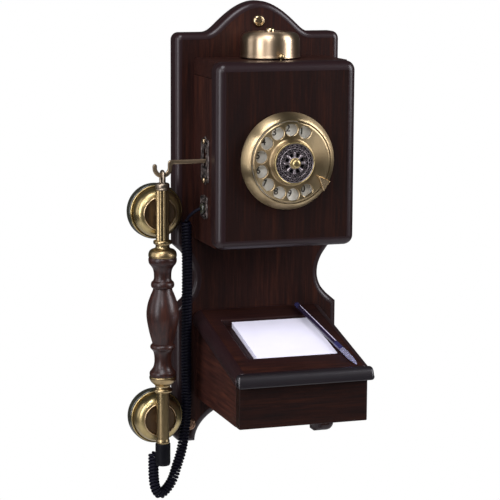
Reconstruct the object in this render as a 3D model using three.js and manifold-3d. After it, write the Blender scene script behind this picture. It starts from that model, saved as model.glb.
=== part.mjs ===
// Wall telephone with a wooden backboard, bell box, rotary dial, side hook and writing desk.
// Millimetres, +X right, +Y into the wall, +Z up. The wall is the plane y = 0.
// Heights are counted from the bottom of the backboard's feet, and the outermost group lowers
// everything by half the board's height, so the origin is the centre of the back face.
import * as THREE from 'three';
import { mergeVertices } from 'three/addons/utils/BufferGeometryUtils.js';
import Module from 'manifold-3d';

const wasm = await Module();
wasm.setup();

// ---- driving dimensions ----
const GAP = 0.3;
const BOARD = { width: 175, height: 451.8, depth: 19, edge: 6.5 };
const BOX = { width: 136.8, bottom: 213.4, top: 396.5, front: 89.1, wall: 8, lid: 17.2 };
const PANEL = { width: 144.3, back: 89.4, front: 107.3, edge: 8.7, corner: 9.5 };
const DESK = { width: 132.3, bottom: 47.4, front: 162, wall: 8, slope: 14, rim: 102.9, thick: 12.4 };
const TRAY = { width: 94.6, start: 30.7, length: 90, depth: 6 };
const PAD = { side: 84, thick: 5.6, x: 4.1, start: 31 };
const PEN = { radius: 3.6, length: 145, lift: 4.1, backX: 40, frontX: 53.3 };
const MOULDING = { width: 140.4, back: 162.3, centreZ: 95.9, halfHeight: 6.35, nose: 171 };
const DIAL = { z: 300, opening: 39.4, bezel: 48, bore: 40.4, wheel: 39.7, holeRing: 32, hole: 6.3, hub: 22.6 };
const DIAL_HOLES = { count: 10, first: 65, step: 26 };
const GEAR = { teeth: 28, radius: 23.4, tooth: 0.8 };
const PINION = { teeth: 7, radius: 5.4, tooth: 0.7, distance: 29.4 };
const BELL = { radius: 30, y: -54, bottom: 398, top: 422.7, skin: 1.6 };
const HOOK = { y: -59, arm: 296.5, armHalf: 2.1, thick: 3, pivotX: -8, outer: 8.8, inner: 5.6 };
const HANDSET = { x: -113, cupHigh: 244.5, cupLow: 34.5, rod: 6.5, flutes: 8, flute: 0.35 };
const EYE = { z: 279.3, innerHalfHeight: 7, innerHalfWidth: 4.2, bar: 3, thick: 2.6 };
const SCREW = { head: 6.5, headHeight: 2.7, shank: 2, length: 11.5 };
const ESCUTCHEON = { y: HOOK.y, z: 297, thick: 1.6, screws: [316.2, 277.4] };
const SMALL_SCREW = { head: 2.9, headHeight: 1.7, shank: 1.2, length: 6 };
const CORD = { lead: 3.2, coil: 10.4 };
const OUTLET = { y: -57, z: 248.6 };

const BOX_SIDE = BOX.width / 2;
const DESK_SIDE = DESK.width / 2;
const BOARD_FRONT = -BOARD.depth - GAP;
const HOOK_CENTRE = new THREE.Vector2(HANDSET.x, 291.1);

// ---- materials ----
const finish = (color, roughness, metalness) => new THREE.MeshStandardMaterial({ color, roughness, metalness });
const FINISH = {
  mahogany: () => finish('#3a1f18', 0.32, 0),
  darkEdge: () => finish('#1d1413', 0.22, 0),
  brass: () => finish('#8d7347', 0.3, 1),
  oldBrass: () => finish('#5c4c3a', 0.45, 1),
  gunmetal: () => finish('#3b3740', 0.4, 0.9),
  bakelite: () => finish('#15171a', 0.25, 0),
  steel: () => finish('#9a9a9c', 0.4, 1),
  copper: () => finish('#9a5a2c', 0.4, 0.8),
  plate: () => finish('#d6d2c4', 0.5, 0),
  cord: () => finish('#181826', 0.55, 0),
  paper: () => finish('#f2f1f7', 0.9, 0),
  penBlue: () => finish('#2c3566', 0.2, 0),
  fibre: () => finish('#5a4326', 0.7, 0),
};

// ---- geometry helpers ----
const WELD = 1e-4;
const SIDES = { large: 40, medium: 28, cup: 24, round: 16, small: 12, tiny: 8 };

function signedVolume(position, index) {
  const [a, b, c] = [new THREE.Vector3(), new THREE.Vector3(), new THREE.Vector3()];
  let sum = 0;
  for (let i = 0; i < index.length; i += 3) {
    a.fromBufferAttribute(position, index[i]);
    b.fromBufferAttribute(position, index[i + 1]);
    c.fromBufferAttribute(position, index[i + 2]);
    sum += a.dot(b.cross(c));
  }
  return sum / 6;
}

// Shared vertices merged, collapsed triangles dropped, faces pointing out.
function closed(geometry) {
  const bare = new THREE.BufferGeometry();
  bare.setAttribute('position', geometry.getAttribute('position').clone());
  if (geometry.index) bare.setIndex(geometry.index.clone());
  const merged = mergeVertices(bare, WELD);
  const source = merged.index.array;
  const kept = [];
  for (let i = 0; i < source.length; i += 3) {
    const [a, b, c] = [source[i], source[i + 1], source[i + 2]];
    if (a !== b && b !== c && c !== a) kept.push(a, b, c);
  }
  if (signedVolume(merged.getAttribute('position'), kept) < 0) kept.reverse();
  merged.setIndex(kept);
  return merged;
}

function toSolid(geometry) {
  const shell = closed(geometry);
  const mesh = new wasm.Mesh({
    numProp: 3,
    vertProperties: new Float32Array(shell.getAttribute('position').array),
    triVerts: new Uint32Array(shell.index.array),
  });
  return new wasm.Manifold(mesh);
}

function toGeometry(solid) {
  const mesh = solid.getMesh();
  const geometry = new THREE.BufferGeometry();
  geometry.setAttribute('position', new THREE.BufferAttribute(mesh.vertProperties, 3));
  geometry.setIndex(new THREE.BufferAttribute(mesh.triVerts, 1));
  return geometry;
}

const fuse = (first, ...rest) => toGeometry(rest.reduce((sum, g) => sum.add(toSolid(g)), toSolid(first)));
const cut = (first, ...rest) => toGeometry(rest.reduce((sum, g) => sum.subtract(toSolid(g)), toSolid(first)));

// A box from its lowest to its highest corner.
function block([x0, x1], [y0, y1], [z0, z1]) {
  const geometry = new THREE.BoxGeometry(x1 - x0, y1 - y0, z1 - z0);
  return geometry.translate((x0 + x1) / 2, (y0 + y1) / 2, (z0 + z1) / 2);
}

const toPoints = (profile) => profile.map(([r, h]) => new THREE.Vector2(r, h));
const closeLoop = (profile) => [...profile, profile[0]];

// Turned solids: profile rows are [radius, place along the axis].
const turnedUp = (profile, sides) => new THREE.LatheGeometry(toPoints(profile), sides).rotateX(Math.PI / 2);
const turnedFront = (profile, sides) => new THREE.LatheGeometry(toPoints(profile), sides);
const turnedSide = (profile, sides) => new THREE.LatheGeometry(toPoints(profile), sides).rotateZ(-Math.PI / 2);

const rod = (radius, from, to) => [[0, from], [radius, from], [radius, to], [0, to]];

const EXTRUDE_PLAIN = { bevelEnabled: false, curveSegments: 8, steps: 1 };
// Rounded rims that stay inside the outline.
const rounded = (size, segments) =>
  ({ bevelEnabled: true, bevelThickness: size, bevelSize: size, bevelOffset: -size, bevelSegments: segments });
const CLOSE_POINTS = 0.02;
const STRAIGHT = 1e-3;

// The same outline as straight runs, without points that nearly coincide or lie on a straight line.
function straightened(shape, divisions) {
  const points = [];
  for (const p of shape.getPoints(divisions)) {
    const last = points[points.length - 1];
    if (!last || last.distanceTo(p) > CLOSE_POINTS) points.push(p);
  }
  if (points[0].distanceTo(points[points.length - 1]) < CLOSE_POINTS) points.pop();
  const turns = (p, i) => {
    const before = p.clone().sub(points[(i + points.length - 1) % points.length]).normalize();
    const after = points[(i + 1) % points.length].clone().sub(p).normalize();
    return Math.abs(before.cross(after)) > STRAIGHT;
  };
  return new THREE.Shape(points.filter(turns));
}

// Outline drawn in x and z, extruded towards the viewer from y = -from to y = -to.
function frontSlab(shape, from, to, options = EXTRUDE_PLAIN) {
  const geometry = new THREE.ExtrudeGeometry(shape, { ...EXTRUDE_PLAIN, ...options, depth: to - from });
  return geometry.rotateX(Math.PI / 2).translate(0, -from, 0);
}

// Outline drawn in y and z, extruded along x.
const SIDE_BASIS = new THREE.Matrix4().makeBasis(
  new THREE.Vector3(0, 1, 0), new THREE.Vector3(0, 0, 1), new THREE.Vector3(1, 0, 0));
function sideSlab(shape, from, to, options = EXTRUDE_PLAIN) {
  const geometry = new THREE.ExtrudeGeometry(shape, { ...EXTRUDE_PLAIN, ...options, depth: to - from });
  return geometry.applyMatrix4(SIDE_BASIS).translate(from, 0, 0);
}

// A slab whose front edge only is rounded over.
function roundedSlab(shape, from, to, edge, segments, divisions) {
  const long = frontSlab(straightened(shape, divisions), from - 2 * edge, to - edge, rounded(edge, segments));
  const behind = block([-200, 200], [-from, 200], [-100, 600]);
  return cut(long, behind);
}

function roundedRectangle(x0, x1, z0, z1, r) {
  const shape = new THREE.Shape();
  shape.moveTo(x0 + r, z0);
  shape.lineTo(x1 - r, z0).absarc(x1 - r, z0 + r, r, -Math.PI / 2, 0);
  shape.lineTo(x1, z1 - r).absarc(x1 - r, z1 - r, r, 0, Math.PI / 2);
  shape.lineTo(x0 + r, z1).absarc(x0 + r, z1 - r, r, Math.PI / 2, Math.PI);
  shape.lineTo(x0, z0 + r).absarc(x0 + r, z0 + r, r, Math.PI, 1.5 * Math.PI);
  return shape;
}

const polygon = (points) => new THREE.Shape(toPoints(points));

// A closed outline from a radius that depends on the angle.
function polarShape(radiusAt, count, centre = [0, 0], stretch = [1, 1]) {
  const points = [];
  for (let i = 0; i < count; i += 1) {
    const angle = (2 * Math.PI * i) / count;
    const r = radiusAt(angle);
    points.push([centre[0] + stretch[0] * r * Math.cos(angle), centre[1] + stretch[1] * r * Math.sin(angle)]);
  }
  return polygon(points);
}

// A round hole in an outline, as a polygon.
function hole(x, y, radius, sides) {
  return new THREE.Path(polarShape(() => radius, sides, [x, y]).getPoints().reverse());
}

function piece(name, geometry, material) {
  const mesh = new THREE.Mesh(closed(geometry), material);
  mesh.name = name;
  return mesh;
}

const phone = new THREE.Group();
const body = new THREE.Group();
body.position.z = -BOARD.height / 2;
phone.add(body);

// ---- backboard and its screws ----
const SHOULDER = { z: 420.5, x: 57, corner: 7.5 };
const WAIST = { bottom: 139.5, top: 206 };
const FEET = { inner: 66, arch: 42, corner: 8 };
const BOARD_SCREWS = { top: [0, 431.5], left: [-72.5, 19], right: [72.5, 19] };

// Right half from the foot to the top of the arch; mirrored for the left half.
function boardOutline() {
  const edge = BOARD.width / 2;
  const shape = new THREE.Shape();
  const waist = toPoints([[77.5, 148], [70.8, 156.3], [67.3, 167], [67.8, 178], [71.5, 188], [78, 197.5]]);
  const mirrored = waist.map(({ x, y }) => new THREE.Vector2(-x, y)).reverse();
  shape.moveTo(FEET.inner, 0);
  shape.lineTo(edge - FEET.corner, 0);
  shape.absarc(edge - FEET.corner, FEET.corner, FEET.corner, -Math.PI / 2, 0);
  shape.lineTo(edge, WAIST.bottom);
  shape.lineTo(waist[0].x, waist[0].y);
  shape.splineThru(waist.slice(1));
  shape.lineTo(edge, WAIST.top);
  shape.lineTo(edge, SHOULDER.z - SHOULDER.corner);
  shape.absarc(edge - SHOULDER.corner, SHOULDER.z - SHOULDER.corner, SHOULDER.corner, 0, Math.PI / 2);
  shape.lineTo(SHOULDER.x, SHOULDER.z);
  shape.bezierCurveTo(50, SHOULDER.z, 46.5, 424.5, 41, 429.5);
  shape.bezierCurveTo(31, 439, 16, BOARD.height, 0, BOARD.height);
  shape.bezierCurveTo(-16, BOARD.height, -31, 439, -41, 429.5);
  shape.bezierCurveTo(-46.5, 424.5, -50, SHOULDER.z, -SHOULDER.x, SHOULDER.z);
  shape.lineTo(SHOULDER.corner - edge, SHOULDER.z);
  shape.absarc(SHOULDER.corner - edge, SHOULDER.z - SHOULDER.corner, SHOULDER.corner, Math.PI / 2, Math.PI);
  shape.lineTo(-edge, WAIST.top);
  shape.lineTo(mirrored[0].x, mirrored[0].y);
  shape.splineThru(mirrored.slice(1));
  shape.lineTo(-edge, WAIST.bottom);
  shape.lineTo(-edge, FEET.corner);
  shape.absarc(FEET.corner - edge, FEET.corner, FEET.corner, Math.PI, 1.5 * Math.PI);
  shape.lineTo(-FEET.inner, 0);
  shape.absellipse(0, 0, FEET.inner, FEET.arch, Math.PI, 0, true);
  return shape;
}

function backboard() {
  const slab = roundedSlab(boardOutline(), 0, BOARD.depth, BOARD.edge, 2, 4);
  const shank = rod(SCREW.shank + GAP, -BOARD.depth - 1, -BOARD.depth + SCREW.length + 0.5);
  const bores = Object.values(BOARD_SCREWS).map(([x, z]) => turnedFront(shank, SIDES.small).translate(x, 0, z));
  return piece('backboard', cut(slab, ...bores), FINISH.mahogany());
}

// Domed slotted screw, head towards the viewer, seat of the head at y = 0.
function screwGeometry(size) {
  const { head, headHeight: height, shank, length } = size;
  const dome = [[0, length], [shank, length], [shank, 0], [head, 0], [head, -0.5],
    [head * 0.86, -height * 0.6], [head * 0.5, -height * 0.93], [0, -height]];
  const slotHalf = head * 0.11;
  const slot = block([-head, head], [-height - 1, -height * 0.55], [-slotHalf, slotHalf]);
  return cut(turnedFront(dome, SIDES.small), slot);
}

function boardScrew([name, [x, z]]) {
  const screw = piece(`board_screw_${name}`, screwGeometry(SCREW), FINISH.brass());
  screw.position.set(x, BOARD_FRONT, z);
  return screw;
}

body.add(backboard(), ...Object.entries(BOARD_SCREWS).map(boardScrew));

// ---- bell box ----
const LEVER_SLOT = { y: [-61.8, -56.2], z: [292, 309] };
const CLAPPER_SLOT = { x: [-8, 8], y: [-90, -84.6] };
const BELL_BOLT = 2.2;

function boxSide(name, sign) {
  const x = [BOX_SIDE - BOX.wall, BOX_SIDE].map((v) => v * sign).sort((a, b) => a - b);
  const plain = block(x, [-BOX.front, BOARD_FRONT], [BOX.bottom, BOX.top - BOX.lid - GAP]);
  if (sign > 0) return piece(name, plain, FINISH.mahogany());
  const slot = block([x[0] - 1, x[1] + 1], LEVER_SLOT.y, LEVER_SLOT.z);
  const outlet = turnedSide(rod(4.2, x[0] - 1, x[1] + 1), SIDES.small).translate(0, OUTLET.y, OUTLET.z);
  const pilot = turnedSide(rod(SMALL_SCREW.shank + GAP, x[0] - 1, x[0] + SMALL_SCREW.length), SIDES.tiny);
  const pilots = ESCUTCHEON.screws.map((z) => pilot.clone().translate(0, ESCUTCHEON.y, z));
  return piece(name, cut(plain, slot, outlet, ...pilots), FINISH.mahogany());
}

function boxTop() {
  const round = 9;
  const z0 = BOX.top - BOX.lid;
  const outline = new THREE.Shape();
  outline.moveTo(-BOX.front, z0);
  outline.lineTo(BOARD_FRONT, z0).lineTo(BOARD_FRONT, BOX.top - round);
  outline.quadraticCurveTo(BOARD_FRONT, BOX.top, BOARD_FRONT - round, BOX.top);
  outline.lineTo(-BOX.front, BOX.top);
  const lid = sideSlab(straightened(outline, 6), -BOX_SIDE, BOX_SIDE);
  const bolt = turnedUp(rod(BELL_BOLT + GAP, z0 - 1, BOX.top + 1), 16).translate(0, BELL.y, 0);
  const slot = block(CLAPPER_SLOT.x, CLAPPER_SLOT.y, [z0 - 1, BOX.top + 1]);
  return piece('box_top', cut(lid, bolt, slot), FINISH.mahogany());
}

function boxBottom() {
  const half = BOX_SIDE - BOX.wall - GAP;
  const geometry = block([-half, half], [-BOX.front, BOARD_FRONT], [BOX.bottom, BOX.bottom + 10]);
  return piece('box_bottom', geometry, FINISH.mahogany());
}

function frontPanel() {
  const half = PANEL.width / 2;
  const outline = roundedRectangle(-half, half, BOX.bottom, BOX.top, PANEL.corner);
  const slab = roundedSlab(outline, PANEL.back, PANEL.front, PANEL.edge, 3, 4);
  const opening = turnedFront(rod(DIAL.opening, -PANEL.front - 1, -PANEL.back + 1), SIDES.medium);
  opening.translate(0, 0, DIAL.z);
  return piece('front_panel', cut(slab, opening), FINISH.mahogany());
}

body.add(boxSide('box_left_side', -1), boxSide('box_right_side', 1), boxTop(), boxBottom(), frontPanel());

// ---- writing desk ----
const SLOPE = THREE.MathUtils.degToRad(DESK.slope);
const rimZ = (y) => DESK.rim + (y + DESK.front - GAP) * Math.tan(SLOPE);
const underZ = (y) => rimZ(y) - DESK.thick - GAP;
const deskFrontBack = -DESK.front + 12;

// Group whose local y runs up the slope of the desk's top, and local z is its normal.
const slope = new THREE.Group();
slope.position.set(0, -DESK.front + GAP, DESK.rim);
slope.rotation.x = SLOPE;
slope.updateMatrix();

function deskSide(name, sign) {
  const y0 = deskFrontBack + GAP;
  const outline = polygon([[y0, DESK.bottom], [BOARD_FRONT, DESK.bottom],
    [BOARD_FRONT, underZ(BOARD_FRONT)], [y0, underZ(y0)]]);
  const x0 = sign > 0 ? DESK_SIDE - DESK.wall : -DESK_SIDE;
  return piece(name, sideSlab(outline, x0, x0 + DESK.wall), FINISH.mahogany());
}

function deskFrontBoard() {
  const outline = polygon([[-DESK.front, DESK.bottom], [deskFrontBack, DESK.bottom],
    [deskFrontBack, underZ(deskFrontBack)], [-DESK.front, underZ(-DESK.front)]]);
  return piece('desk_front', sideSlab(outline, -DESK_SIDE, DESK_SIDE), FINISH.mahogany());
}

function deskBottom() {
  const half = DESK_SIDE - DESK.wall - GAP;
  const geometry = block([-half, half], [deskFrontBack + GAP, BOARD_FRONT], [DESK.bottom, DESK.bottom + 8]);
  return piece('desk_bottom', geometry, FINISH.mahogany());
}

// The lid's left and right edges are thumb-shaped, like the moulding in front of it.
function deskTop() {
  const thumb = 9;
  const reach = MOULDING.width / 2;
  const { thick } = DESK;
  const section = new THREE.Shape();
  section.moveTo(1 - reach, -thick).lineTo(reach - 1, -thick).lineTo(reach, 1 - thick);
  section.absellipse(reach - thumb, -thumb, thumb, thumb, 0, Math.PI / 2, false);
  section.absellipse(thumb - reach, -thumb, thumb, thumb, Math.PI / 2, Math.PI, false);
  section.lineTo(-reach, 1 - thick);
  const tilt = Math.tan(SLOPE);
  const onSlope = new THREE.Matrix4().set(1, 0, 0, 0, 0, 1, 0, 0, 0, tilt, 1, rimZ(0), 0, 0, 0, 1);
  const slab = frontSlab(straightened(section, 6), -BOARD_FRONT, DESK.front - GAP).applyMatrix4(onSlope);
  const half = TRAY.width / 2;
  const recess = block([-half, half], [TRAY.start, TRAY.start + TRAY.length], [-TRAY.depth, 5]);
  return piece('desk_top', cut(slab, recess.applyMatrix4(slope.matrix)), FINISH.mahogany());
}

function deskMoulding() {
  const round = 3;
  const noseCentre = 165.6;
  const { centreZ, halfHeight } = MOULDING;
  const outline = new THREE.Shape();
  outline.moveTo(-MOULDING.back, centreZ + halfHeight).lineTo(-noseCentre, centreZ + halfHeight);
  const depth = MOULDING.nose - noseCentre;
  outline.absellipse(-noseCentre, centreZ, depth, halfHeight, Math.PI / 2, 1.5 * Math.PI, false);
  outline.lineTo(-MOULDING.back, centreZ - halfHeight);
  const half = MOULDING.width / 2 - round;
  const bar = sideSlab(straightened(outline, 7), -half, half, rounded(round, 3));
  return piece('desk_moulding', bar, FINISH.darkEdge());
}

function notePad() {
  const { side, thick, x, start } = PAD;
  const sheetGap = 0.1;
  const geometry = block([x - side / 2, x + side / 2], [start, start + side], [-thick - sheetGap, -sheetGap]);
  return piece('note_pad', geometry, FINISH.paper());
}

// Ballpoint pen lying slightly askew on the rim, its tip towards the front.
function pen() {
  const { radius, length } = PEN;
  const profile = [[0, 0], [0.6, 0.2], [1.1, 3], [2.6, 10], [radius - 0.4, 14], [radius - 0.4, 40], [radius, 41],
    [radius, length - 3], [radius - 1, length - 0.5], [0, length]];
  const mesh = piece('pen', turnedFront(profile, 16), FINISH.penBlue());
  mesh.position.set(PEN.frontX, -1.5, PEN.lift);
  mesh.rotation.z = Math.atan2(PEN.frontX - PEN.backX, length);
  return mesh;
}

slope.add(notePad(), pen());
body.add(deskSide('desk_left_side', -1), deskSide('desk_right_side', 1), deskFrontBoard(), deskBottom(),
  deskTop(), deskMoulding(), slope);

// ---- bell, striker and ringer ----
function bellGong() {
  const { radius, bottom, top, skin } = BELL;
  const bore = BELL_BOLT + GAP;
  const shoulder = 8;
  const outer = [];
  const steps = 4;
  for (let i = 0; i <= steps; i += 1) {
    const a = (i / steps) * (Math.PI / 2);
    outer.push([radius - shoulder + shoulder * Math.cos(a), top - 1.2 - shoulder + shoulder * Math.sin(a)]);
  }
  const inner = outer.map(([r, z]) => [r - skin * 0.9, z - skin]).reverse();
  const profile = [[radius, bottom], ...outer, [bore, top], [bore, top - skin], ...inner, [radius - skin, bottom]];
  const gong = piece('bell_gong', turnedUp(closeLoop(profile), SIDES.cup), FINISH.brass());
  gong.position.y = BELL.y;
  return gong;
}

function bellPost() {
  const seat = BELL.top - BELL.skin - GAP;
  const profile = [[0, 366], [BELL_BOLT, 366], [BELL_BOLT, BOX.top + GAP], [6, BOX.top + GAP], [6, 399],
    [4.2, 401], [4.2, 418], [6, seat], [BELL_BOLT, seat], [BELL_BOLT, BELL.top + 2], [0, BELL.top + 2]];
  const post = piece('bell_post', turnedUp(profile, SIDES.small), FINISH.steel());
  post.position.y = BELL.y;
  return post;
}

function bellNut() {
  const z = BELL.top + GAP;
  const profile = [[BELL_BOLT + 0.2, z], [4.6, z], [4.6, z + 1.6], [3.6, z + 3.2], [1.6, z + 4.1], [0, z + 4.3],
    [0, z + 2.6], [BELL_BOLT + 0.2, z + 2.2]];
  const nut = piece('bell_nut', turnedUp(closeLoop(profile), SIDES.small), FINISH.oldBrass());
  nut.position.y = BELL.y;
  return nut;
}

const STRIKER = { y: -86.4, pivotZ: 345, ball: 3.2, ballY: -88, ballZ: 400.4, arm: 0.9, trunnion: 1.5 };

function clapper() {
  const ball = new THREE.SphereGeometry(STRIKER.ball, SIDES.small, SIDES.tiny);
  ball.translate(0, STRIKER.ballY, STRIKER.ballZ);
  const arm = turnedUp(rod(STRIKER.arm, STRIKER.pivotZ, STRIKER.ballZ), SIDES.tiny).translate(0, STRIKER.y, 0);
  const trunnion = turnedSide(rod(STRIKER.trunnion, -11.5, 11.5), 12).translate(0, STRIKER.y, STRIKER.pivotZ);
  const armature = block([-7, 7], [STRIKER.y - 0.8, STRIKER.y + 1], [STRIKER.pivotZ, STRIKER.pivotZ + 15]);
  return piece('clapper', fuse(arm, ball, trunnion, armature), FINISH.oldBrass());
}

function ringerFrame() {
  const under = BOX.top - BOX.lid - GAP;
  const plate = block([-20, 20], [-52, -50], [338, under]);
  const flange = block([-20, 20], [-78, -50], [under - 2.5, under]);
  const bearing = (x) => turnedSide(rod(STRIKER.trunnion + GAP, x - 1, x + 3), SIDES.small);
  const ear = (x) => cut(block([x, x + 2], [-89, -51], [341, 349]),
    bearing(x).translate(0, STRIKER.y, STRIKER.pivotZ));
  const bolt = turnedUp(rod(BELL_BOLT + GAP, 336, under + 1), SIDES.small).translate(0, BELL.y, 0);
  return piece('ringer_frame', cut(fuse(plate, flange, ear(-10.8), ear(8.8)), bolt), FINISH.steel());
}

function ringerCoil() {
  const profile = [[0, -84.2], [2.6, -84.2], [2.6, -82], [8, -82], [8, -80.6], [6.8, -80.2], [6.8, -60],
    [8, -59.6], [8, -57], [0, -57]];
  const coil = piece('ringer_coil', turnedFront(profile, SIDES.small), FINISH.copper());
  coil.position.z = 356.5;
  return coil;
}

body.add(bellGong(), bellPost(), bellNut(), clapper(), ringerFrame(), ringerCoil());

// ---- rotary dial ----
const dial = new THREE.Group();
dial.position.z = DIAL.z;
const holeAngle = (i) => THREE.MathUtils.degToRad(DIAL_HOLES.first + DIAL_HOLES.step * i);

function dialBezel() {
  const base = PANEL.front + GAP;
  const profile = [[DIAL.bezel, -base], [47.7, -110.3], [46.6, -113.6], [44.9, -116.6], [42.8, -118.9],
    [41.4, -119.6], [DIAL.bore, -119], [DIAL.bore, -base]];
  return piece('dial_bezel', turnedFront(closeLoop(profile), SIDES.large), FINISH.brass());
}

function numberPlate() {
  const profile = closeLoop([[3, -108.6], [39.9, -108.6], [39.9, -110.1], [3, -110.1]]);
  return piece('number_plate', turnedFront(profile, SIDES.medium), FINISH.plate());
}

const WHEEL = { back: 118.9, front: 121.2, hubFront: 127.6 };

function fingerWheel() {
  const outline = polarShape(() => DIAL.wheel, SIDES.large);
  for (let i = 0; i < DIAL_HOLES.count; i += 1) {
    const [x, z] = [DIAL.holeRing * Math.cos(holeAngle(i)), DIAL.holeRing * Math.sin(holeAngle(i))];
    outline.holes.push(hole(x, z, DIAL.hole, SIDES.small));
  }
  const disc = frontSlab(outline, WHEEL.back, WHEEL.front);
  const profile = [[0, -119.5], [DIAL.hub, -119.5], [DIAL.hub, -122.6], [21.4, -124],
    [21, -WHEEL.hubFront], [0, -WHEEL.hubFront]];
  const hub = turnedFront(profile, SIDES.medium);
  return piece('finger_wheel', fuse(disc, hub), FINISH.brass());
}

function medallionRing() {
  const y = -WHEEL.hubFront - GAP;
  const profile = closeLoop([[17.7, y], [20.8, y], [20.8, y - 1.4], [20, y - 2.5], [18.6, y - 2.6],
    [17.7, y - 1.8]]);
  return piece('medallion_ring', turnedFront(profile, SIDES.medium), FINISH.brass());
}

// Eight-petalled pierced rosette.
function medallion() {
  const petals = 8;
  const outline = polarShape(() => 17.4, SIDES.medium);
  for (let i = 0; i < petals; i += 1) {
    const a = (2 * Math.PI * (i + 0.5)) / petals;
    outline.holes.push(hole(7.8 * Math.cos(a), 7.8 * Math.sin(a), 1.5, SIDES.tiny));
    outline.holes.push(hole(13.4 * Math.cos(a), 13.4 * Math.sin(a), 1.9, SIDES.tiny));
  }
  const y = WHEEL.hubFront + GAP;
  return piece('medallion', frontSlab(outline, y, y + 1.4), FINISH.gunmetal());
}

function medallionBoss() {
  const y = -WHEEL.hubFront - GAP - 1.4 - GAP;
  const profile = [[0, y], [5.2, y], [5.2, y - 1.6], [4.6, y - 4], [3, y - 5.8], [0, y - 6.6]];
  return piece('medallion_boss', turnedFront(profile, SIDES.round), FINISH.brass());
}

// Claw with its broad root on the bezel and its point over the wheel.
function fingerStop() {
  const at = (r, degrees) => {
    const a = THREE.MathUtils.degToRad(degrees);
    return new THREE.Vector2(r * Math.cos(a), r * Math.sin(a));
  };
  const claw = [[29, -28], [30, -31.5], [41.6, -42.5], [45.2, -40], [45.4, -29], [42, -26.5]];
  const outline = new THREE.Shape(claw.map(([r, degrees]) => at(r, degrees)));
  const plate = frontSlab(outline, 121.9, 123.5);
  return piece('finger_stop', plate, FINISH.brass());
}

function dialCan() {
  const profile = [[2.4, -68], [38.4, -68], [38.4, -108], [37.2, -108], [37.2, -69.6], [2.4, -69.6]];
  const can = turnedFront(closeLoop(profile), SIDES.medium);
  const bearing = turnedFront(rod(1.3, -71, -66), 12).translate(PINION.distance, 0, 0);
  return piece('dial_can', cut(can, bearing), FINISH.steel());
}

const toothed = ({ teeth, radius, tooth }) => polarShape((a) => radius + tooth * Math.cos(teeth * a), teeth * 4);

function dialShaft() {
  const shaft = turnedFront(rod(2, -118.6, -66.4), 16);
  const gear = frontSlab(toothed(GEAR), 92, 95);
  return piece('dial_shaft_gear', fuse(shaft, gear), FINISH.steel());
}

function dialSpring() {
  const [turns, steps, inner, outer, thick] = [3.5, 44, 5.5, 18, 0.7];
  const edge = (shift) => {
    const points = [];
    for (let i = 0; i <= steps; i += 1) {
      const t = i / steps;
      const r = inner + (outer - inner) * t + shift;
      const a = turns * 2 * Math.PI * t;
      points.push([r * Math.cos(a), r * Math.sin(a)]);
    }
    return points;
  };
  const outline = polygon([...edge(thick / 2), ...edge(-thick / 2).reverse()]);
  return piece('dial_return_spring', frontSlab(outline, 98, 102), FINISH.steel());
}

function governor() {
  const pinion = frontSlab(toothed(PINION), 90, 97);
  const drum = turnedFront(rod(4.4, -88, -74), 16);
  const axle = turnedFront(rod(1, -98, -68.4), 10);
  const mesh = piece('governor', fuse(pinion, drum, axle), FINISH.steel());
  mesh.position.x = PINION.distance;
  return mesh;
}

dial.add(dialBezel(), numberPlate(), fingerWheel(), medallionRing(), medallion(), medallionBoss(), fingerStop(),
  dialCan(), dialShaft(), dialSpring(), governor());
body.add(dial);

// ---- hook, its works and the side plates ----
function hookOutline() {
  const { arm, armHalf, outer, inner, pivotX } = HOOK;
  const { x: cx, y: cz } = HOOK_CENTRE;
  const tip = (outer + inner) / 2;
  const shape = new THREE.Shape();
  shape.moveTo(cx + outer, arm - armHalf);
  shape.lineTo(pivotX - 4, arm - armHalf);
  shape.absarc(pivotX, arm, 4.6, Math.PI * 1.15, Math.PI * 0.85, false);
  shape.lineTo(cx + outer - 0.6, arm + armHalf);
  shape.quadraticCurveTo(cx + inner, arm + armHalf, cx + inner, arm - 0.6);
  shape.lineTo(cx + inner, cz);
  shape.absarc(cx, cz, inner, 0, -Math.PI, true);
  shape.absarc(cx - tip, cz, tip - inner, 0, Math.PI, false);
  shape.absarc(cx, cz, outer, Math.PI, 2 * Math.PI, false);
  return shape;
}

const LEVER_Y = [-HOOK.y - HOOK.thick / 2, -HOOK.y + HOOK.thick / 2];

function hookLever() {
  const edge = 0.5;
  const outline = straightened(hookOutline(), 5);
  outline.holes.push(hole(HOOK.pivotX, HOOK.arm, 2.1, SIDES.small));
  const bar = frontSlab(outline, LEVER_Y[0] + edge, LEVER_Y[1] - edge, rounded(edge, 1));
  return piece('hook_lever', bar, FINISH.oldBrass());
}

const BRACKET = { left: -14, right: -2, farLeft: -36, z0: 285, floor: 2 };

function hookBracket() {
  const { left, right, farLeft, z0, floor } = BRACKET;
  const base = block([left - 6, right + 6], [-21.3, BOARD_FRONT], [z0, z0 + 22]);
  const shelf = block([left, right], [-64.5, -20], [z0, z0 + floor]);
  const springShelf = block([farLeft, right], [-64.5, -53.5], [z0, z0 + floor]);
  const ear = (y) => block([left, right], [y, y + 1.5], [z0, z0 + 17.5]);
  const bore = turnedFront(rod(2.05, -70, -50), 16).translate(HOOK.pivotX, 0, HOOK.arm);
  return piece('hook_bracket', cut(fuse(base, shelf, springShelf, ear(-64.5), ear(-55)), bore), FINISH.steel());
}

function hookPin() {
  const pin = turnedFront([[0, -66.8], [3.2, -66.8], [3.2, -64.9], [1.95, -64.9], [1.95, -52], [0, -52]], 16);
  return piece('hook_pivot_pin', pin.translate(HOOK.pivotX, 0, HOOK.arm), FINISH.steel());
}

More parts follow.
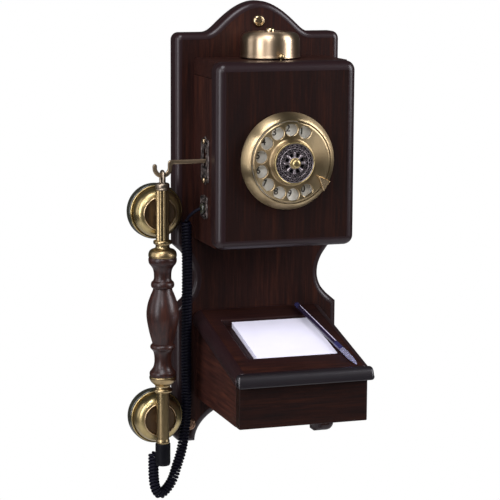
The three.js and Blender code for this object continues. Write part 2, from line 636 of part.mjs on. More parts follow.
class HelixCurve extends THREE.Curve {
  constructor(radius, z0, z1, turns) {
    super();
    Object.assign(this, { radius, z0, z1, turns });
  }

  getPoint(t, target = new THREE.Vector3()) {
    const a = 2 * Math.PI * this.turns * t;
    const z = this.z0 + (this.z1 - this.z0) * t;
    return target.set(this.radius * Math.cos(a), this.radius * Math.sin(a), z);
  }
}

const ring = (radius, sides) => polarShape(() => radius, sides);

function hookSpring() {
  const z0 = BRACKET.z0 + BRACKET.floor + 0.8;
  const curve = new HelixCurve(2.6, z0, HOOK.arm - HOOK.armHalf - 0.8, 4);
  const wire = new THREE.ExtrudeGeometry(ring(0.4, 5), { steps: 32, bevelEnabled: false, extrudePath: curve });
  return piece('hook_spring', wire.translate(BRACKET.farLeft + 6, HOOK.y, 0), FINISH.steel());
}

// Leaf contacts that the lever closes as it rises.
function hookSwitch() {
  const block0 = block([-56, -44], [-50, -40], [296, 312]);
  const leaf = (z) => block([-56, -42], [-63, -41], [z, z + 0.5]);
  return piece('hook_switch', fuse(block0, leaf(305.2), leaf(308.4)), FINISH.fibre());
}

function escutcheonShape(centre, halfWidth, halfHeight) {
  const lobes = (a) => 1 - 0.1 * Math.cos(4 * a) + 0.07 * Math.cos(8 * a) - 0.05 * Math.cos(2 * a);
  return polarShape(lobes, 48, centre, [halfWidth, halfHeight]);
}

const SIDE_X = -BOX_SIDE - GAP;

function hookEscutcheon() {
  const outline = escutcheonShape([ESCUTCHEON.y, ESCUTCHEON.z], 14, 24.6);
  const slot = roundedRectangle(...LEVER_SLOT.y, ...LEVER_SLOT.z, 2);
  outline.holes.push(new THREE.Path(straightened(slot, 2).getPoints().reverse()));
  for (const z of ESCUTCHEON.screws) {
    outline.holes.push(hole(ESCUTCHEON.y, z, SMALL_SCREW.shank + GAP, SIDES.tiny));
  }
  return piece('hook_escutcheon', sideSlab(outline, SIDE_X - ESCUTCHEON.thick, SIDE_X), FINISH.oldBrass());
}

function escutcheonScrew(name, z) {
  const screw = piece(name, screwGeometry(SMALL_SCREW), FINISH.brass());
  screw.rotation.z = -Math.PI / 2;
  screw.position.set(SIDE_X - ESCUTCHEON.thick - GAP, ESCUTCHEON.y, z);
  return screw;
}

function outletEscutcheon() {
  const centre = [OUTLET.y + 1, OUTLET.z + 1.6];
  const outline = escutcheonShape(centre, 12.6, 12.6);
  outline.holes.push(hole(OUTLET.y, OUTLET.z, 4.2, SIDES.small));
  return piece('outlet_escutcheon', sideSlab(outline, SIDE_X - ESCUTCHEON.thick, SIDE_X), FINISH.oldBrass());
}

function cordGrommet() {
  const bore = CORD.lead / 2 + GAP;
  const flange = SIDE_X - 1.6 - GAP;
  const inside = -BOX_SIDE + BOX.wall + 2;
  const profile = closeLoop([[bore, flange - 2.4], [4, flange - 2.2], [5.2, flange - 1], [5.2, flange],
    [3.9, flange], [3.9, inside], [bore, inside]]);
  const grommet = turnedSide(profile, SIDES.small).translate(0, OUTLET.y, OUTLET.z);
  return piece('cord_grommet', grommet, FINISH.bakelite());
}

function circuitBoard() {
  const bottom = BOX.bottom + 10 + GAP;
  const board = block([-44, 44], [-72, -30], [bottom + 3, bottom + 4.6]);
  const standoff = (x, y) => block([x, x + 4], [y, y + 4], [bottom, bottom + 3.5]);
  const capacitor = turnedUp(rod(6, bottom + 4, bottom + 19), 16).translate(18, -42, 0);
  const transformer = block([-24, -4], [-56, -38], [bottom + 4, bottom + 18]);
  const terminals = block([26, 40], [-70, -40], [bottom + 4, bottom + 13]);
  const standoffs = [standoff(-43, -71), standoff(39, -71), standoff(-43, -35), standoff(39, -35)];
  return piece('circuit_board', fuse(board, ...standoffs, capacitor, transformer, terminals), FINISH.fibre());
}

body.add(hookLever(), hookBracket(), hookPin(), hookSpring(), hookSwitch(), hookEscutcheon(),
  escutcheonScrew('escutcheon_screw_upper', ESCUTCHEON.screws[0]),
  escutcheonScrew('escutcheon_screw_lower', ESCUTCHEON.screws[1]),
  outletEscutcheon(), cordGrommet(), circuitBoard());

// ---- handset ----
const handset = new THREE.Group();
handset.position.set(HANDSET.x, HOOK.y, 0);

// Oval eye that the hook passes through, on a small cone.
function eyeCap() {
  const { innerHalfWidth: width, innerHalfHeight: height, bar } = EYE;
  const oval = (halfWidth, halfHeight, clockwise) =>
    new THREE.Path().absellipse(0, EYE.z, halfWidth, halfHeight, 0, 2 * Math.PI, clockwise).getPoints(10);
  const outline = new THREE.Shape(oval(width + bar, height + bar, false));
  outline.holes.push(new THREE.Path(oval(width, height, true)));
  const loop = sideSlab(outline, -EYE.thick / 2, EYE.thick / 2);
  const taper = [[0, 264.2], [6.85, 264.2], [4.4, 267.4], [3, 269.6], [1.9, 272], [0, 272]];
  const cone = turnedUp(taper, SIDES.round);
  return piece('handset_eye', fuse(loop, cone), FINISH.oldBrass());
}

const SADDLE = { half: 5, front: 4.5, back: 9.3 };
const saddle = (z) => block([-SADDLE.half, SADDLE.half], [SADDLE.front, SADDLE.back], [z - 6, z + 6]);

function upperRod() {
  const fluted = polarShape((a) => HANDSET.rod + HANDSET.flute * Math.cos(HANDSET.flutes * a), 48);
  const bar = new THREE.ExtrudeGeometry(fluted, { ...EXTRUDE_PLAIN, depth: 44.6 }).translate(0, 0, 219.3);
  return piece('upper_rod', fuse(bar, saddle(HANDSET.cupHigh)), FINISH.brass());
}

function upperCollar() {
  const profile = [[0, 219], [9.1, 219], [9.2, 217.4], [9, 215.6], [7.1, 215.1], [7.2, 211.6], [11.8, 210],
    [13.7, 207.6], [14.2, 204.6], [14, 202.4], [0, 202.4]];
  return piece('upper_collar', turnedUp(profile, SIDES.round), FINISH.brass());
}

function woodGrip() {
  const profile = [[0, 202.1], [13.9, 202.1], [14.2, 199], [13.4, 196], [10.6, 192.6], [9, 188.4], [8.65, 183.3],
    [9.2, 179.2], [10.6, 177], [11.7, 175], [11.5, 172.6], [9.5, 170.8], [10.2, 168.4], [12.4, 163], [14.9, 155.5],
    [16.2, 148], [16.1, 141], [14.6, 132], [12.4, 122.5], [10.6, 116], [10.5, 114], [12.1, 113.2], [12.5, 111.6],
    [12, 109.8], [9.6, 107.4], [8.5, 102], [8.35, 96.5], [9.3, 91.5], [11.2, 88.2], [13.1, 86], [13.3, 84],
    [12.9, 82], [0, 82]];
  return piece('wood_grip', turnedUp(profile, SIDES.round), FINISH.mahogany());
}

function lowerCollar() {
  const profile = [[0, 81.7], [13.3, 81.7], [13.5, 79.8], [12.2, 76.4], [9.4, 73.6], [7.8, 72], [7.7, 69.4],
    [9.2, 68.6], [9.7, 67.2], [9.2, 65.8], [7, 65.4], [0, 65.4]];
  return piece('lower_collar', turnedUp(profile, SIDES.round), FINISH.brass());
}

function lowerRod() {
  const profile = [[0, 12.8], [5.5, 12.8], [5.5, 59], [6.4, 62], [6.6, 65.1], [0, 65.1]];
  return piece('lower_rod', fuse(turnedUp(profile, SIDES.round), saddle(HANDSET.cupLow)), FINISH.brass());
}

function cordBoot() {
  const profile = [[0, 12.5], [7.3, 12.5], [7.6, 11.5], [7.6, -8.2], [7.2, -8.6], [7.2, -9.4], [6.6, -10.3],
    [0, -10.3]];
  return piece('cord_boot', turnedUp(profile, SIDES.round), FINISH.bakelite());
}

// Cup profiles: radius and distance from the handset's axis towards the wall.
const CUP_SHELL = [[0, 9.6], [15.3, 9.6], [15.7, 7.6], [17.1, 7.4], [18, 8.8], [21.4, 12.4], [24, 17.4], [25.1, 22],
  [26.3, 22.4], [26.3, 23.6], [24.4, 23.6], [23.6, 21.8], [22.6, 18], [20.2, 13.8], [17, 11], [0, 11]];
const CUP_CAP = [[0, 31.8], [20.6, 31.8], [22.4, 30.4], [24.2, 23.9], [27.2, 23.9], [28, 25.6], [28, 28.4],
  [26.6, 32], [22.6, 34.8], [19.4, 36.2], [17.6, 35.2], [0, 34.6]];
const CAPSULE = [[0, 14.2], [13.6, 14.2], [13.8, 20.6], [19.8, 21], [19.8, 29.6], [0, 29.6]];

function cupParts(prefix, z) {
  const shell = piece(`${prefix}_shell`, turnedFront(CUP_SHELL, SIDES.cup), FINISH.brass());
  const cap = piece(`${prefix}_cap`, turnedFront(CUP_CAP, SIDES.cup), FINISH.bakelite());
  const capsule = piece(`${prefix}_capsule`, turnedFront(CAPSULE, SIDES.small), FINISH.gunmetal());
  for (const part of [shell, cap, capsule]) part.position.z = z;
  return [shell, cap, capsule];
}

handset.add(eyeCap(), upperRod(), upperCollar(), woodGrip(), lowerCollar(), lowerRod(), cordBoot(),
  ...cupParts('receiver', HANDSET.cupHigh), ...cupParts('transmitter', HANDSET.cupLow));
body.add(handset);

// ---- cord: a short straight lead, then the curly cord down and round to the handset's boot ----
const LEAD_ROUTE = [[-73.4, -57, 248.6], [-75.4, -56.4, 247.9], [-78.6, -53.4, 245], [-81.6, -50, 241.4],
  [-83.2, -47.8, 238.6]];
const COIL_ROUTE = [[-83.9, -46.6, 236.6], [-84.1, -45.6, 232], [-83.4, -43, 215.5], [-82, -40, 194.6],
  [-81.1, -37, 168.4], [-80.4, -33, 131.6], [-79.4, -28.6, 89], [-78.6, -26.4, 60], [-78.6, -26, 38],
  [-80.6, -26.4, 14.8], [-84.2, -27.4, -5.7],
  [-89.7, -30, -20.1], [-96.5, -35, -34], [-104, -39, -41.8], [-111.3, -42, -45.1], [-116.9, -45, -38],
  [-118.8, -45.6, -26.9], [-119.3, -46, -13.1], [-119.2, -46, 0.5]];


function cordTube(name, route, diameter, steps) {
  const points = route.map((p) => new THREE.Vector3(...p));
  const extrudePath = new THREE.CatmullRomCurve3(points, false, 'centripetal');
  const options = { steps, bevelEnabled: false, extrudePath };
  return piece(name, new THREE.ExtrudeGeometry(ring(diameter / 2, SIDES.tiny), options), FINISH.cord());
}

body.add(cordTube('cord_lead', LEAD_ROUTE, CORD.lead, 8), cordTube('curly_cord', COIL_ROUTE, CORD.coil, 48));

export default phone;
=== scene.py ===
"""Looks of the wall telephone. Metres, +X right, +Y into the wall, +Z up, as in the CAD frame.
The plain boards and the board screws follow their CAD nodes. The other pieces are placed in millimetres
from the foot of the CAD backboard, and MM turns millimetres into metres."""
import math

import bmesh
import bpy
import numpy as np
from mathutils import Matrix, Vector


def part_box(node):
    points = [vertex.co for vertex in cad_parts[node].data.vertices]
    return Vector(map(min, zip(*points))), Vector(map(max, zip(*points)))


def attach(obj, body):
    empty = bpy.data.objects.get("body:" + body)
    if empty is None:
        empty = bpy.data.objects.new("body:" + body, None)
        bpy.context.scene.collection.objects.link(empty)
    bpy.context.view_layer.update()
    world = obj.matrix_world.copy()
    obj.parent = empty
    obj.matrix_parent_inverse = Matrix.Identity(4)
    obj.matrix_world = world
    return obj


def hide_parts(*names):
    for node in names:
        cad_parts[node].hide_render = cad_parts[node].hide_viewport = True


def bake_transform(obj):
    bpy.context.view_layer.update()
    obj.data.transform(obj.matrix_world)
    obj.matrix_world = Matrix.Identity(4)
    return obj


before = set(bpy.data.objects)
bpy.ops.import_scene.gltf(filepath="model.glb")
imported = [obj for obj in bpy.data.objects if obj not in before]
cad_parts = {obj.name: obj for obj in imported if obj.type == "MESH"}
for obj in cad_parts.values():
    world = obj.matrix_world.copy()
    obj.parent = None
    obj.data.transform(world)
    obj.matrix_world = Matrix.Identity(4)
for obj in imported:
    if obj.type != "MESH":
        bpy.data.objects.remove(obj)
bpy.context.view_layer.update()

MM = 0.001
TAU = 2 * math.pi
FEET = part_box("backboard")[0].z


def high(z):
    """A height in millimetres above the backboard's feet, as a place in metres."""
    return FEET + z * MM


# ---- camera ----
CAMERA = {"at": (-0.6513, -1.9342, 0.3079), "azimuth": -18.56, "elevation": 9.44, "roll": 0.31,
          "lens": 143.7, "sensor": 36, "nearest": 0.05}


def add_camera():
    azimuth, elevation, roll = (math.radians(CAMERA[k]) for k in ("azimuth", "elevation", "roll"))
    back = Vector((math.sin(azimuth) * math.cos(elevation), -math.cos(azimuth) * math.cos(elevation),
                   math.sin(elevation)))
    level = (-back).cross(Vector((0, 0, 1))).normalized()
    upright = level.cross(-back)
    right = math.cos(roll) * level + math.sin(roll) * upright
    up = math.cos(roll) * upright - math.sin(roll) * level
    data = bpy.data.cameras.new("camera")
    data.sensor_width = CAMERA["sensor"]
    data.lens = CAMERA["lens"]
    data.clip_start = CAMERA["nearest"]
    camera = bpy.data.objects.new("camera", data)
    camera.matrix_world = Matrix.Translation(CAMERA["at"]) @ Matrix((right, up, back)).transposed().to_4x4()
    bpy.context.collection.objects.link(camera)
    bpy.context.scene.camera = camera


# ---- shader building ----
class Shader:
    """One material: a Principled shader and the nodes that feed it."""

    def __init__(self, name):
        self.material = bpy.data.materials.new(name)
        self.material.use_nodes = True
        self.tree = self.material.node_tree
        self.surface = self.tree.nodes["Principled BSDF"]

    def node(self, kind, links=None, **settings):
        made = self.tree.nodes.new(kind)
        for key, value in settings.items():
            setattr(made, key, value)
        for key, value in (links or {}).items():
            self.feed(made.inputs[key], value)
        return made

    def feed(self, socket, value):
        if isinstance(value, bpy.types.NodeSocket):
            self.tree.links.new(value, socket)
        else:
            socket.default_value = value

    def set(self, **values):
        for key, value in values.items():
            self.feed(self.surface.inputs[key.replace("_", " ")], value)

    def place(self, scale=(1, 1, 1), offset=(0, 0, 0)):
        coordinates = self.node("ShaderNodeTexCoord").outputs["Object"]
        mapping = self.node("ShaderNodeMapping", {"Vector": coordinates, "Scale": scale, "Location": offset})
        return mapping.outputs["Vector"]

    def noise(self, vector, scale, detail=4.0, roughness=0.55, distortion=0.0):
        made = self.node("ShaderNodeTexNoise", {"Vector": vector, "Scale": scale, "Detail": detail,
                                                "Roughness": roughness, "Distortion": distortion})
        return made.outputs["Fac"]

    def ramp(self, value, stops):
        made = self.node("ShaderNodeValToRGB", {"Fac": value})
        elements = made.color_ramp.elements
        while len(elements) < len(stops):
            elements.new(0.5)
        for element, (position, color) in zip(elements, stops):
            element.position = position
            element.color = (*color, 1)
        return made.outputs["Color"]

    def spread(self, value, low, high_value, to_low=0.0, to_high=1.0):
        made = self.node("ShaderNodeMapRange", {"Value": value, "From Min": low, "From Max": high_value,
                                                "To Min": to_low, "To Max": to_high})
        return made.outputs["Result"]

    def math(self, operation, a, b):
        made = self.node("ShaderNodeMath", operation=operation)
        self.feed(made.inputs[0], a)
        self.feed(made.inputs[1], b)
        return made.outputs[0]

    def mix(self, factor, a, b):
        made = self.node("ShaderNodeMix", {"Factor": factor}, data_type="RGBA")
        for name, color in (("A", a), ("B", b)):
            self.feed(made.inputs[name], color if isinstance(color, bpy.types.NodeSocket) else (*color, 1))
        return made.outputs["Result"]

    def bump(self, height, strength, distance):
        made = self.node("ShaderNodeBump", {"Height": height, "Strength": strength, "Distance": distance})
        self.feed(self.surface.inputs["Normal"], made.outputs["Normal"])

    def attribute(self, name):
        return self.node("ShaderNodeAttribute", attribute_name=name).outputs["Fac"]


# ---- materials ----
GRAIN = {"x": (0.055, 1, 1), "y": (1, 0.055, 1), "z": (1, 1, 0.055)}
WOOD = {
    "figure": [(0.34, (0.0085, 0.0031, 0.0026)), (0.5, (0.0175, 0.0058, 0.0042)),
               (0.66, (0.036, 0.0112, 0.0064))],
    "pores": (0.0035, 0.002, 0.0018), "edge": (0.012, 0.0045, 0.0058), "lacquer": (0.006, 0.0052, 0.0075),
    "edge_coat": 0.5, "covered": 0.8,
}


def wood(name, grain, tone, seed, edges=True, coat=0.08):
    """Dark red-brown mahogany under thin lacquer, near black and glossier where the attribute 'edge' is 1.
    Without edges it is black-lacquered all over."""
    shader = Shader(name)
    along = shader.place(GRAIN[grain], (seed, seed * 0.7, seed * 1.3))
    wide = shader.noise(along, 60, 3, 0.5, 0.6)
    streaks = shader.noise(along, 420, 5, 0.62, 0.4)
    pores = shader.noise(shader.place(tuple(g if g == 1 else 0.02 for g in GRAIN[grain])), 1700, 2, 0.5)
    figure = shader.math("ADD", shader.math("MULTIPLY", wide, 0.35), shader.math("MULTIPLY", streaks, 0.65))
    color = shader.ramp(figure, [(at, [part * tone for part in shade]) for at, shade in WOOD["figure"]])
    color = shader.mix(shader.spread(pores, 0.36, 0.46, 0.5, 0.0), color, WOOD["pores"])
    if edges:
        edge = shader.attribute("edge")
        color = shader.mix(shader.math("MULTIPLY", edge, WOOD["covered"]), color, WOOD["edge"])
        coat = shader.spread(edge, 0, 1, coat, WOOD["edge_coat"])
    else:
        color = shader.mix(WOOD["covered"], color, WOOD["lacquer"])
    shader.set(Base_Color=color, Roughness=shader.spread(streaks, 0.3, 0.7, 0.5, 0.4))
    shader.set(Specular_IOR_Level=0.1, Coat_Weight=coat, Coat_Roughness=0.3)
    height = shader.math("ADD", shader.spread(pores, 0.36, 0.46), shader.math("MULTIPLY", streaks, 0.5))
    shader.bump(height, 0.12, 0.0003)
    return shader.material


def brass(name, light, dark, roughness, turned_about=None):
    """Antique brass: warm metal with brown patina in soft clouds, brushed in rounds about a given axis."""
    shader = Shader(name)
    clouds = shader.noise(shader.place(), 32, 4, 0.5, 0.3)
    specks = shader.noise(shader.place(offset=(1, 2, 3)), 420, 3, 0.5)
    patina = shader.math("ADD", shader.math("MULTIPLY", clouds, 0.88), shader.math("MULTIPLY", specks, 0.12))
    color = shader.mix(shader.spread(patina, 0.36, 0.66, 0.5, 0.0), light, dark)
    shader.set(Base_Color=color, Metallic=1.0)
    shader.set(Roughness=shader.spread(clouds, 0.35, 0.65, roughness * 1.25, roughness * 0.85))
    shader.bump(specks, 0.02, 0.0001)
    if turned_about:
        shader.set(Anisotropic=0.85, Anisotropic_Rotation=0.25)
        tangent = shader.node("ShaderNodeTangent", direction_type="RADIAL", axis=turned_about)
        shader.set(Tangent=tangent.outputs["Tangent"])
    return shader.material


def relief_metal(name, light, dark, roughness):
    """Cast ornament: light on its raised parts and nearly black where its hollow attribute is 1, painted
    shade between the raised loops and scrolls.
    """
    shader = Shader(name)
    clouds = shader.noise(shader.place(), 260, 4, 0.6)
    tint = shader.mix(shader.spread(clouds, 0.35, 0.65), dark, light)
    # Near black on the low ground between the raised parts: painted shade.
    color = shader.mix(shader.attribute("shaded_hollow"), tint, (0.006, 0.0055, 0.007))
    shader.set(Base_Color=color, Metallic=0.9)
    shader.set(Roughness=shader.spread(clouds, 0.3, 0.7, roughness * 1.3, roughness * 0.8))
    shader.bump(clouds, 0.12, 0.0002)
    return shader.material


def plastic(name, color, second, roughness, coat, gloss=0.5):
    """Moulded plastic, enamel or hard rubber with a faint mottle."""
    shader = Shader(name)
    mottle = shader.noise(shader.place(), 120, 4, 0.6)
    shader.set(Base_Color=shader.mix(shader.spread(mottle, 0.3, 0.7), color, second))
    shader.set(Roughness=shader.spread(mottle, 0.3, 0.7, roughness * 0.85, roughness * 1.2))
    shader.set(Specular_IOR_Level=gloss, Coat_Weight=coat, Coat_Roughness=0.08)
    shader.bump(mottle, 0.02, 0.0002)
    return shader.material


def paper(name):
    shader = Shader(name)
    fibres = shader.noise(shader.place(), 1400, 5, 0.7)
    clouds = shader.noise(shader.place(), 30, 2)
    mixed = shader.math("ADD", shader.math("MULTIPLY", fibres, 0.5), shader.math("MULTIPLY", clouds, 0.5))
    shader.set(Base_Color=shader.mix(shader.spread(mixed, 0.35, 0.65), (0.64, 0.63, 0.72), (0.7, 0.69, 0.77)))
    shader.set(Roughness=0.85)
    shader.bump(fibres, 0.08, 0.0001)
    return shader.material


def clear_plastic(name, tint):
    shader = Shader(name)
    clouds = shader.noise(shader.place(), 90, 3)
    lighter = [part * 1.1 for part in tint]
    shader.set(Base_Color=shader.mix(shader.spread(clouds, 0.3, 0.7), tint, lighter))
    shader.set(Roughness=0.06, IOR=1.46, Transmission_Weight=0.75)
    return shader.material


def cord_cover(name):
    shader = Shader(name)
    mottle = shader.noise(shader.place(), 300, 3)
    blend = shader.spread(mottle, 0.3, 0.7)
    shader.set(Base_Color=shader.mix(blend, (0.0014, 0.0013, 0.0044), (0.0028, 0.0026, 0.008)))
    shader.set(Roughness=shader.spread(mottle, 0.3, 0.7, 0.45, 0.55), Specular_IOR_Level=0.1)
    shader.bump(mottle, 0.05, 0.0001)
    return shader.material


def steel(name, light, dark):
    shader = Shader(name)
    brushed = shader.noise(shader.place((1, 1, 14)), 260, 4)
    shader.set(Base_Color=shader.mix(shader.spread(brushed, 0.3, 0.7), dark, light), Metallic=1.0)
    shader.set(Roughness=shader.spread(brushed, 0.3, 0.7, 0.28, 0.42))
    shader.bump(brushed, 0.06, 0.0001)
    return shader.material


def winding(name):
    """Varnished copper wire in close turns."""
    shader = Shader(name)
    waves = shader.node("ShaderNodeTexWave", {"Vector": shader.place(), "Scale": 900.0, "Distortion": 0.4},
                        bands_direction="Y")
    turns = waves.outputs["Fac"]
    shader.set(Base_Color=shader.mix(turns, (0.28, 0.09, 0.03), (0.62, 0.26, 0.1)))
    shader.set(Metallic=0.8, Roughness=0.35)
    shader.bump(turns, 0.5, 0.0004)
    return shader.material


# Each look: the slot it stands for, the function that makes it, and what that function is told.
LOOKS = {
    "wood_board": ("mahogany", wood, "z", 1.12, 0.1),
    "wood_box": ("mahogany", wood, "z", 0.62, 0.9),
    # The box's sides and bottom and the desk's sides are given far lighter tones than the front panel and
    # desk front: painted light and sheen on the sides.
    "wood_side": ("mahogany", wood, "z", 1.3, 1.7),
    "wood_desk_side": ("mahogany", wood, "y", 1.9, 2.3),
    "wood_desk_front": ("mahogany", wood, "x", 0.66, 3.1),
    "wood_desk_top": ("mahogany", wood, "x", 1.05, 4.2),
    "wood_lid": ("mahogany", wood, "x", 1.2, 7.7),
    "wood_grip": ("mahogany", wood, "z", 1.35, 5.2, True, 0.5),
    "lacquer": ("dark_moulding", wood, "x", 0.5, 6.3, False, 0.9),
    "brass": ("brass", brass, (0.56, 0.43, 0.26), (0.2, 0.13, 0.07), 0.24),
    "bell_brass": ("brass", brass, (0.57, 0.44, 0.29), (0.36, 0.25, 0.16), 0.38, "Z"),
    "dial_brass": ("brass", brass, (0.48, 0.375, 0.215), (0.2, 0.13, 0.064), 0.36, "Y"),
    "rod_brass": ("brass", brass, (0.42, 0.32, 0.165), (0.19, 0.125, 0.06), 0.3),
    "dark_brass": ("dark_brass", brass, (0.36, 0.3, 0.22), (0.12, 0.09, 0.07), 0.32),
    "hook_brass": ("dark_brass", brass, (0.6, 0.46, 0.3), (0.26, 0.19, 0.12), 0.34),
    "cup_brass": ("brass", brass, (0.46, 0.37, 0.18), (0.2, 0.14, 0.06), 0.3),
    # Darker, coppery brass for the two lower board screws: painted shade on them.
    "screw_brass": ("brass", brass, (0.34, 0.21, 0.14), (0.15, 0.085, 0.055), 0.34),
    # Very dark brass for the discs inside the cups: a painted dark reflection.
    "cup_disc": ("dark_brass", brass, (0.17, 0.115, 0.07), (0.1, 0.065, 0.04), 0.36),
    "rosette": ("gunmetal", relief_metal, (0.4, 0.355, 0.36), (0.19, 0.165, 0.175), 0.34),
    "filigree": ("dark_brass", relief_metal, (0.13, 0.105, 0.095), (0.035, 0.03, 0.028), 0.45),
    "bakelite": ("bakelite", plastic, (0.014, 0.015, 0.009), (0.028, 0.029, 0.018), 0.2, 0.3),
    "rubber": ("bakelite", plastic, (0.0022, 0.0022, 0.0034), (0.004, 0.004, 0.0055), 0.42, 0.0, 0.1),
    "enamel": ("enamel", plastic, (0.82, 0.81, 0.71), (0.88, 0.87, 0.79), 0.4, 0.1),
    "digits": ("bakelite", plastic, (0.03, 0.026, 0.022), (0.06, 0.05, 0.042), 0.5, 0.0),
    "fibre": ("fibre", plastic, (0.1, 0.06, 0.025), (0.17, 0.11, 0.05), 0.6, 0.0),
    "paper": ("paper", paper),
    "pen_blue": ("pen_plastic", plastic, (0.016, 0.015, 0.05), (0.03, 0.03, 0.1), 0.15, 0.5),
    "pen_barrel": ("pen_plastic", plastic, (0.006, 0.007, 0.028), (0.01, 0.012, 0.045), 0.12, 0.6),
    "pen_clear": ("pen_plastic", clear_plastic, (0.5, 0.5, 0.68)),
    "pen_dark": ("pen_plastic", plastic, (0.012, 0.009, 0.024), (0.02, 0.014, 0.035), 0.12, 0.5),
    # A light lavender strip along the pen's barrel: a painted highlight.
    "pen_line": ("pen_plastic", plastic, (0.5, 0.46, 0.58), (0.6, 0.56, 0.68), 0.3, 0.3),
    "cord": ("cord", cord_cover),
    "steel": ("steel", steel, (0.55, 0.55, 0.56), (0.36, 0.36, 0.37)),
    "gunmetal": ("gunmetal", steel, (0.2, 0.19, 0.22), (0.11, 0.105, 0.12)),
    "copper": ("copper", winding),
}
MATERIAL = {name: make(name, *details) for name, (_, make, *details) in LOOKS.items()}


# ---- curves and outlines, as rows of points in millimetres ----
def arc(x, z, radius, start, end, count=8, squash=1.0):
    angles = np.radians(np.linspace(start, end, count))
    return np.column_stack((x + radius * np.cos(angles), z + radius * squash * np.sin(angles)))


def bezier(p0, p1, p2, p3, count=14):
    t = np.linspace(0, 1, count)[:, None]
    p0, p1, p2, p3 = (np.array(p, float) for p in (p0, p1, p2, p3))
    return (1 - t) ** 3 * p0 + 3 * (1 - t) ** 2 * t * p1 + 3 * (1 - t) * t ** 2 * p2 + t ** 3 * p3


def through(points, step):
    """A smooth centripetal Catmull-Rom line through points, with a point about every step."""
    p = np.array(points, float)
    p = np.vstack((2 * p[0] - p[1], p, 2 * p[-1] - p[-2]))
    rows = []
    for i in range(1, len(p) - 2):
        chords = np.linalg.norm(np.diff(p[i - 1:i + 3], axis=0), axis=1)
        knots = np.concatenate(([0], np.cumsum(chords ** 0.5)))
        count = max(2, math.ceil(np.linalg.norm(p[i + 1] - p[i]) / step))
        t = np.linspace(knots[1], knots[2], count, endpoint=False)[:, None]
        line = [p[i - 1 + k] for k in range(4)]
        for level in (1, 2):
            line = [((knots[k + level] - t) * line[k] + (t - knots[k]) * line[k + 1])
                    / (knots[k + level] - knots[k]) for k in range(4 - level)]
        rows.append(((knots[2] - t) * line[0] + (t - knots[1]) * line[1]) / (knots[2] - knots[1]))
    return np.vstack(rows + [p[-2]])


def flowing(rows, step=0.8):
    """A profile through rows, smooth between its corners, which are the rows in square brackets."""
    runs = [[rows[0]]]
    for row in rows[1:]:
        runs[-1].append(row)
        if isinstance(row, list):
            runs.append([row])
    lines = [np.array(run, float) if len(run) < 3 else through(run, step) for run in runs if len(run) > 1]
    return np.vstack([lines[0][:1]] + [line[1:] for line in lines])


def circle(x, z, radius, sides):
    return arc(x, z, radius, 0, 360, sides + 1)[:-1]


def inset(loop, amount):
    """A closed loop moved into the material by amount. Outer loops turn left and holes turn right."""
    ahead = np.roll(loop, -1, axis=0) - loop
    ahead /= np.linalg.norm(ahead, axis=1)[:, None]
    behind = np.roll(ahead, 1, axis=0)
    normal = np.column_stack((ahead[:, 1] + behind[:, 1], -ahead[:, 0] - behind[:, 0]))
    length = np.linalg.norm(normal, axis=1)[:, None]
    mitre = np.maximum(length / 2, 0.5)
    return loop - amount * normal / length / mitre


def turning(loop, way):
    """The loop turning left for a way of 1 and right for -1."""
    after = np.roll(loop, -1, axis=0)
    area = np.sum(loop[:, 0] * after[:, 1] - loop[:, 1] * after[:, 0])
    return loop if area * way > 0 else loop[::-1]


def distinct(loop):
    """The loop without points that nearly coincide."""
    kept = [loop[0]]
    for point in loop[1:]:
        if np.linalg.norm(point - kept[-1]) > 0.05:
            kept.append(point)
    if np.linalg.norm(kept[-1] - kept[0]) < 0.05:
        kept.pop()
    return np.array(kept)


def rounded_rectangle(x0, x1, z0, z1, r, count=7):
    corners = [(x1 - r, z0 + r, -90), (x1 - r, z1 - r, 0), (x0 + r, z1 - r, 90), (x0 + r, z0 + r, 180)]
    return distinct(np.vstack([arc(x, z, r, start, start + 90, count) for x, z, start in corners]))


def quarter(radius, front, count=7, tint=0.0):
    """Profile rows of an edge rounded towards the front."""
    rows = []
    for a in np.linspace(0, math.pi / 2, count):
        rows.append((radius * (1 - math.cos(a)), front - radius * (1 - math.sin(a)), tint))
    return rows


# ---- mesh building ----
def front_face(loop, depth):
    """Loop in x and height above the feet, at a distance depth in front of the wall."""
    return np.column_stack((loop[:, 0], np.full(len(loop), -depth), loop[:, 1] + FEET / MM))


def side_face(loop, depth):
    """Loop in y and height above the feet, at x = depth."""
    return np.column_stack((np.full(len(loop), depth), loop[:, 0], loop[:, 1] + FEET / MM))


def new_object(name, builder, material, body, replaces=(), sharp=32, weighted=True):
    """Finishes a bmesh into a piece: normals, shading, material and body."""
    bmesh.ops.remove_doubles(builder, verts=builder.verts, dist=1e-7)
    bmesh.ops.recalc_face_normals(builder, faces=builder.faces)
    mesh = bpy.data.meshes.new(name)
    builder.to_mesh(mesh)
    builder.free()
    mesh.shade_smooth()
    mesh.set_sharp_from_angle(angle=math.radians(sharp))
    mesh.materials.append(MATERIAL[material])
    made = bpy.data.objects.new(name, mesh)
    bpy.context.collection.objects.link(made)
    if weighted:
        modifier = made.modifiers.new("weighted", "WEIGHTED_NORMAL")
        modifier.keep_sharp = True
    if body:
        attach(made, body)
    if replaces:
        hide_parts(*replaces)
    return made


def stitch(builder, rings, wanted=None):
    """Faces between neighbouring closed rings. A ring of one vertex closes the surface to a point.
    wanted, if given, tells from a face's corners whether to make it."""
    for low, top in zip(rings, rings[1:]):
        sides = max(len(low), len(top))
        for i in range(sides):
            j = (i + 1) % sides
            corners = (low[i % len(low)], low[j % len(low)], top[j % len(top)], top[i % len(top)])
            corners = tuple(dict.fromkeys(corners))
            if len(corners) > 2 and (wanted is None or wanted(corners)):
                builder.faces.new(corners)


